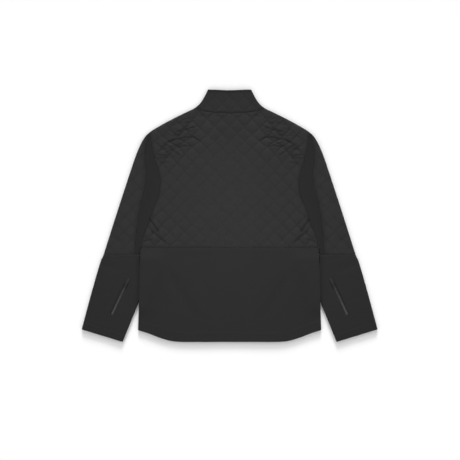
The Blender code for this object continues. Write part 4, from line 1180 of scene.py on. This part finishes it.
# %% Stitch lines
STITCH = {"Pitch": 3.3, "Length": 2.7, "Width": 0.55, "Height": 0.36}
SEAM_STITCH = {"Pitch": 3.0, "Length": 2.5, "Width": 0.62, "Height": 0.42}
THREAD_LIFT, THREAD_SUNK = 0.10, 0.13    # off the cloth on top, and into it underneath
LINE_CELLS, LINE_CLEAR = 12, 2.5    # points for each side of a diamond; lines end off the seams


def facing(line, way):
    """The same direction, up (1) or down (-1), for each point of a line."""
    return np.tile([0.0, 0.0, way], (len(line), 1))


def quilting_lines(layer):
    """Both families of stitch lines, cut off at the layer's edges."""
    first, last = layer.quilt_range()
    runs = []
    for family in (0, 1):
        other = 1 - family
        for count in np.arange(first[family], last[family] + 1):
            steps = np.arange(first[other] * LINE_CELLS, last[other] * LINE_CELLS + 1) / LINE_CELLS
            counts = np.full((len(steps), 2), count)
            counts[:, other] = steps
            line = from_numbers(counts)
            kept = inside(line, layer.places)
            kept[kept] = np.min([away(line[kept], edge) for edge in layer.shaped], axis=0) > LINE_CLEAR
            ends = np.flatnonzero(np.diff(np.concatenate([[0], kept.astype(int), [0]])))
            runs += [line[a:b] for a, b in zip(ends[::2], ends[1::2]) if b - a > 2]
    return runs


def stitched(name, rows, sizes, finish):
    """One object for rows of (layer, plan line), which are laid on both sides of the jacket."""
    lines, ways = [], []
    for layer, line in rows:
        for side in (1, -1):
            height = layer.height(line, side) + (THREAD_LIFT if layer.upper else THREAD_SUNK)
            lines.append(np.column_stack([side * line[:, 0], line[:, 1], height]))
            ways.append(facing(line, 1.0 if layer.upper else -1.0))
    set_along(name, lines, ways, stitch_tree, sizes, finish)


thread = Finish("thread", Roughness=0.5, Specular_IOR_Level=0.3, Sheen_Weight=0.1)
thread.colour(grey(0.014), grey(0.020), thread.noise(0.02))
thread.bump((thread.x + thread.y * 0.4).wave(0.0006), 0.0001)

quilt_rows = [(layer, line) for layer in (back_quilted, collar_back, sleeve_top)
              for line in quilting_lines(layer)]
stitched("quilting_stitches", quilt_rows, STITCH, thread.material)


# %% Rows along seams, hem, collar and cuffs
ROW_FROM_ROUND = 1.5
ROW_BY_ZIP, ROW_BY_FRONT = 3.0, 6.0
WAIST_ROW_OUT, SLEEVE_ROW_OUT = (0.0, 276.0), (250.0, 400.0)    # ends; each layer cuts its row off
FRONT_ROW_UP = (-380.0, 240.0)


def offset(line, distance):
    """A line beside another one, on its left."""
    along = np.gradient(line, axis=0)
    left = np.column_stack([-along[:, 1], along[:, 0]]) / np.linalg.norm(along, axis=1)[:, None]
    return line + distance * left


def within(layer, line):
    """The part of a line that lies on a layer, clear of its rounded sides."""
    return line[inside(line, layer.places) & (layer.to_round(line)[0] > ROW_FROM_ROUND)]


waist_row = straight(*[(out, WAIST_SEAM_UP - WAIST_ROW) for out in WAIST_ROW_OUT])
hem_row = offset(HEM_LINE, -HEM_ROW)
collar_row = moved(BACK_COLLAR_TOP, up=-COLLAR_ROW)
sleeve_row = straight(*[(out, SLEEVE_SEAM_UP - WAIST_ROW) for out in SLEEVE_ROW_OUT])
cuff_row = offset(straight(OUTER_EDGE[-1], CUFF_INNER), -CUFF_ROW)
zip_row = zip_rectangle(SLOT_HALF + ROW_BY_ZIP, SLOT_END + ROW_BY_ZIP)
zip_row = np.vstack([zip_row, zip_row[:1]])
front_row = straight(*[(FRONT_SLOT + ROW_BY_FRONT, up) for up in FRONT_ROW_UP])
rows_on_layers = [
    (waist_row, [back_lower, front_lower]), (hem_row, [back_lower, front_lower]),
    (collar_row, [collar_back]), (sleeve_row, [forearm_top, forearm_under]),
    (cuff_row, [forearm_top, forearm_under]), (zip_row, [forearm_top]),
    (front_row, [front_lower, front_quilted]),
]
seam_rows = [(layer, within(layer, row)) for row, layers in rows_on_layers for layer in layers]
stitched("seam_stitches", seam_rows, SEAM_STITCH, thread.material)

# %% [markdown]
# ## Zips
# A zip is two woven tapes, two rows of teeth that hook into each other, and a slider. The solids
# already have the tapes, the sliders and the pulls, and those only need a finish. The teeth are
# set along the chains here, one row a half pitch ahead of the other.

# %% Zip materials
tape = Finish("zip tape", Roughness=0.6, Specular_IOR_Level=0.3)
tape.colour(grey(0.020), grey(0.028), tape.noise(0.001, 3.0))
tape.bump((tape.x + tape.y * 0.47).wave(0.0012) * 0.5 + tape.noise(0.0015) * 0.5, 0.0002)

COIL_DARK_UP, COIL_FADE = ZIP_HIGH[1] * MM + 0.007, 0.10    # painted highlight: sleeve teeth paler towards the cuff
coil = Finish("zip teeth", Roughness=0.34, Specular_IOR_Level=0.5)
# Painted highlight: the teeth are paler towards the cuff.
toward_cuff = (COIL_DARK_UP - coil.y) / COIL_FADE
coil.colour(grey(0.013), grey(0.056), toward_cuff * toward_cuff * 0.9 + coil.noise(0.004) * 0.2)
coil.set("Roughness", 0.28 + 0.2 * coil.noise(0.003))

painted = Finish("painted slider", Metallic=0.2, Roughness=0.42, Specular_IOR_Level=0.3,
                 Coat_Weight=0.08, Coat_Roughness=0.35)
painted.colour(grey(0.016), grey(0.026), painted.noise(0.0015, 3.0))
painted.set("Roughness", 0.38 + 0.2 * painted.noise(0.0012, 3.0))
painted.bump(painted.noise(0.0006), 0.00006)


def dress(node, finish):
    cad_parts[node].material_slots[0].material = finish.material


dress("front_zip_chain", tape)
dress("front_zip_slider", painted)
dress("front_zip_pull", painted)
for word in ("left", "right"):
    dress(f"front_zip_tape_{word}", tape)
    dress(f"sleeve_zip_{word}", tape)
    dress(f"sleeve_zip_slider_{word}", painted)
    dress(f"sleeve_zip_pull_{word}", painted)

# %% Teeth
TOOTH = {"Pitch": 1.5, "Length": 0.95, "Width": 3.0}
ROW_OUT = 1.35              # from the middle of the chain to a row of teeth
LAG = {-1: 0.0, 1: 0.5 * TOOTH["Pitch"]}        # the second row begins half a pitch later
SLIDER_ROOM, CHAIN_START = 8.0, 0.8
FRONT_CHAIN_LOW, FRONT_CHAIN_HIGH = -380.0, 297.0
sleeve_chain, front_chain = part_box("sleeve_zip_right")[1].z / MM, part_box("front_zip_chain")[0].z / MM


def teeth(name, lines, way, height):
    set_along(name, lines, [facing(line, way) for line in lines], tooth_tree,
              dict(TOOTH, Height=height), coil.material)


sleeve_lines, front_lines = [], []
for side in (1, -1):
    for row in (-1, 1):
        line = straight(by_zip(CHAIN_START + LAG[row], row * ROW_OUT),
                        by_zip(ZIP_LENGTH - SLIDER_ROOM, row * ROW_OUT))
        height = np.full(len(line), sleeve_chain + 0.05)
        sleeve_lines.append(np.column_stack([side * line[:, 0], line[:, 1], height]))
teeth("sleeve_zip_teeth", sleeve_lines, 1.0, 0.62)

for row in (-1, 1):
    line = straight((row * ROW_OUT, FRONT_CHAIN_LOW + LAG[row]), (row * ROW_OUT, FRONT_CHAIN_HIGH))
    under = front_chain + body_rise(line * (0.0, 1.0))
    front_lines.append(np.column_stack([line, under]))
teeth("front_zip_teeth", front_lines, -1.0, 0.5)

# %% [markdown]
# ## Floor, light and camera
# The photograph is a cut-out on white, seen from straight above through a long lens. A pale floor
# takes its place, lit until it is just white. Around it stands a tent of pale cloth, brightest in
# a ring above the floor, which shades the floor a little all round the jacket. The photograph's
# shadow below the hem and the cuffs was laid under the cut-out later, and the cloth shows no such
# low light. So the low lamp that makes this shadow shines on the floor alone, and a wide lamp at a
# moderate height shines on the jacket alone and gives its folds a side.

# %% Floor
FLOOR_SIZE, FLOOR_SHADE = 60.0, 0.85
floor_finish = Finish("pale floor", Roughness=0.9, Specular_IOR_Level=0.1)
floor_finish.colour(grey(FLOOR_SHADE - 0.01), grey(FLOOR_SHADE + 0.01), floor_finish.noise(0.5))
floor_mesh = bpy.data.meshes.new("floor")
half = FLOOR_SIZE / 2
floor_mesh.from_pydata([(-half, -half, 0), (half, -half, 0), (half, half, 0), (-half, half, 0)], [],
                       [(0, 1, 2, 3)])
floor_mesh.materials.append(floor_finish.material)
floor = new_object("floor", floor_mesh)
floor.location.z = -0.1 * MM

# %% The tent of light
ROOF_SHARE, RING_SHARE, SHADOW_SHARE = 0.375, 0.36, 0.28    # of the floor's light
KEY_SHARE = 0.32            # what the jacket gets instead of the last one
RING = (0.22, 0.34, 0.54, 0.75)     # sines of the heights where it begins, is full, fades, ends
world = bpy.data.worlds.new("studio")
world.use_nodes = True
tent = Tree(world.node_tree)
back = world.node_tree.nodes["Background"]
back.inputs["Color"].default_value = (1.0, 1.0, 1.0, 1.0)
sine = tent.split(tent.node("ShaderNodeTexCoord"))[2]
steps = [tent.node("ShaderNodeMapRange", {"interpolation_type": "SMOOTHSTEP"},
                   {"Value": sine, "From Min": low, "From Max": high})
         for low, high in (RING[:2], RING[2:])]
middles = [0.5 * (RING[0] + RING[1]), 0.5 * (RING[2] + RING[3])]
ring_strength = RING_SHARE / (FLOOR_SHADE * (middles[1] ** 2 - middles[0] ** 2))
glow = (steps[0] - steps[1]) * ring_strength + ROOF_SHARE / FLOOR_SHADE
world.node_tree.links.new(glow.socket, back.inputs["Strength"])
bpy.context.scene.world = world


# %% Lamps
def far_lamp(name, elevation, disc, share):
    """A wide lamp far beyond the collar; angles in degrees."""
    lamp = bpy.data.lights.new(name, "SUN")
    height = math.sin(math.radians(elevation))
    lamp.angle = math.radians(disc)
    lamp.energy = share * math.pi / (FLOOR_SHADE * height)
    item = new_object(name, lamp)
    item.rotation_euler = (math.radians(elevation - 90.0), 0.0, 0.0)
    return item


def shine_on_floor(lamp, wanted):
    """Lets a lamp light the floor alone, or everything but the floor."""
    linked = bpy.data.collections.new(f"{lamp.name} floor")
    linked.objects.link(floor)
    lamp.light_linking.receiver_collection = linked
    linked.collection_objects[0].light_linking.link_state = "INCLUDE" if wanted else "EXCLUDE"


shine_on_floor(far_lamp("shadow lamp", elevation=15.0, disc=14.0, share=SHADOW_SHARE), True)
shine_on_floor(far_lamp("key lamp", elevation=32.0, disc=30.0, share=KEY_SHARE), False)

# %% Camera
FRAME_WIDTH = 1.4076        # width of the view at the jacket, in metres
VIEW_CENTRE = (0.00115, -0.0436)
lens = bpy.data.cameras.new("camera")
lens.lens, lens.sensor_width = 100.0, 36.0
camera = new_object("camera", lens)
camera.location = (*VIEW_CENTRE, FRAME_WIDTH * lens.lens / lens.sensor_width + 2 * HALF_HEIGHT * MM)
bpy.context.scene.camera = camera
bpy.context.scene.view_settings.view_transform = "Standard"
print("camera at", [round(value, 3) for value in camera.location])
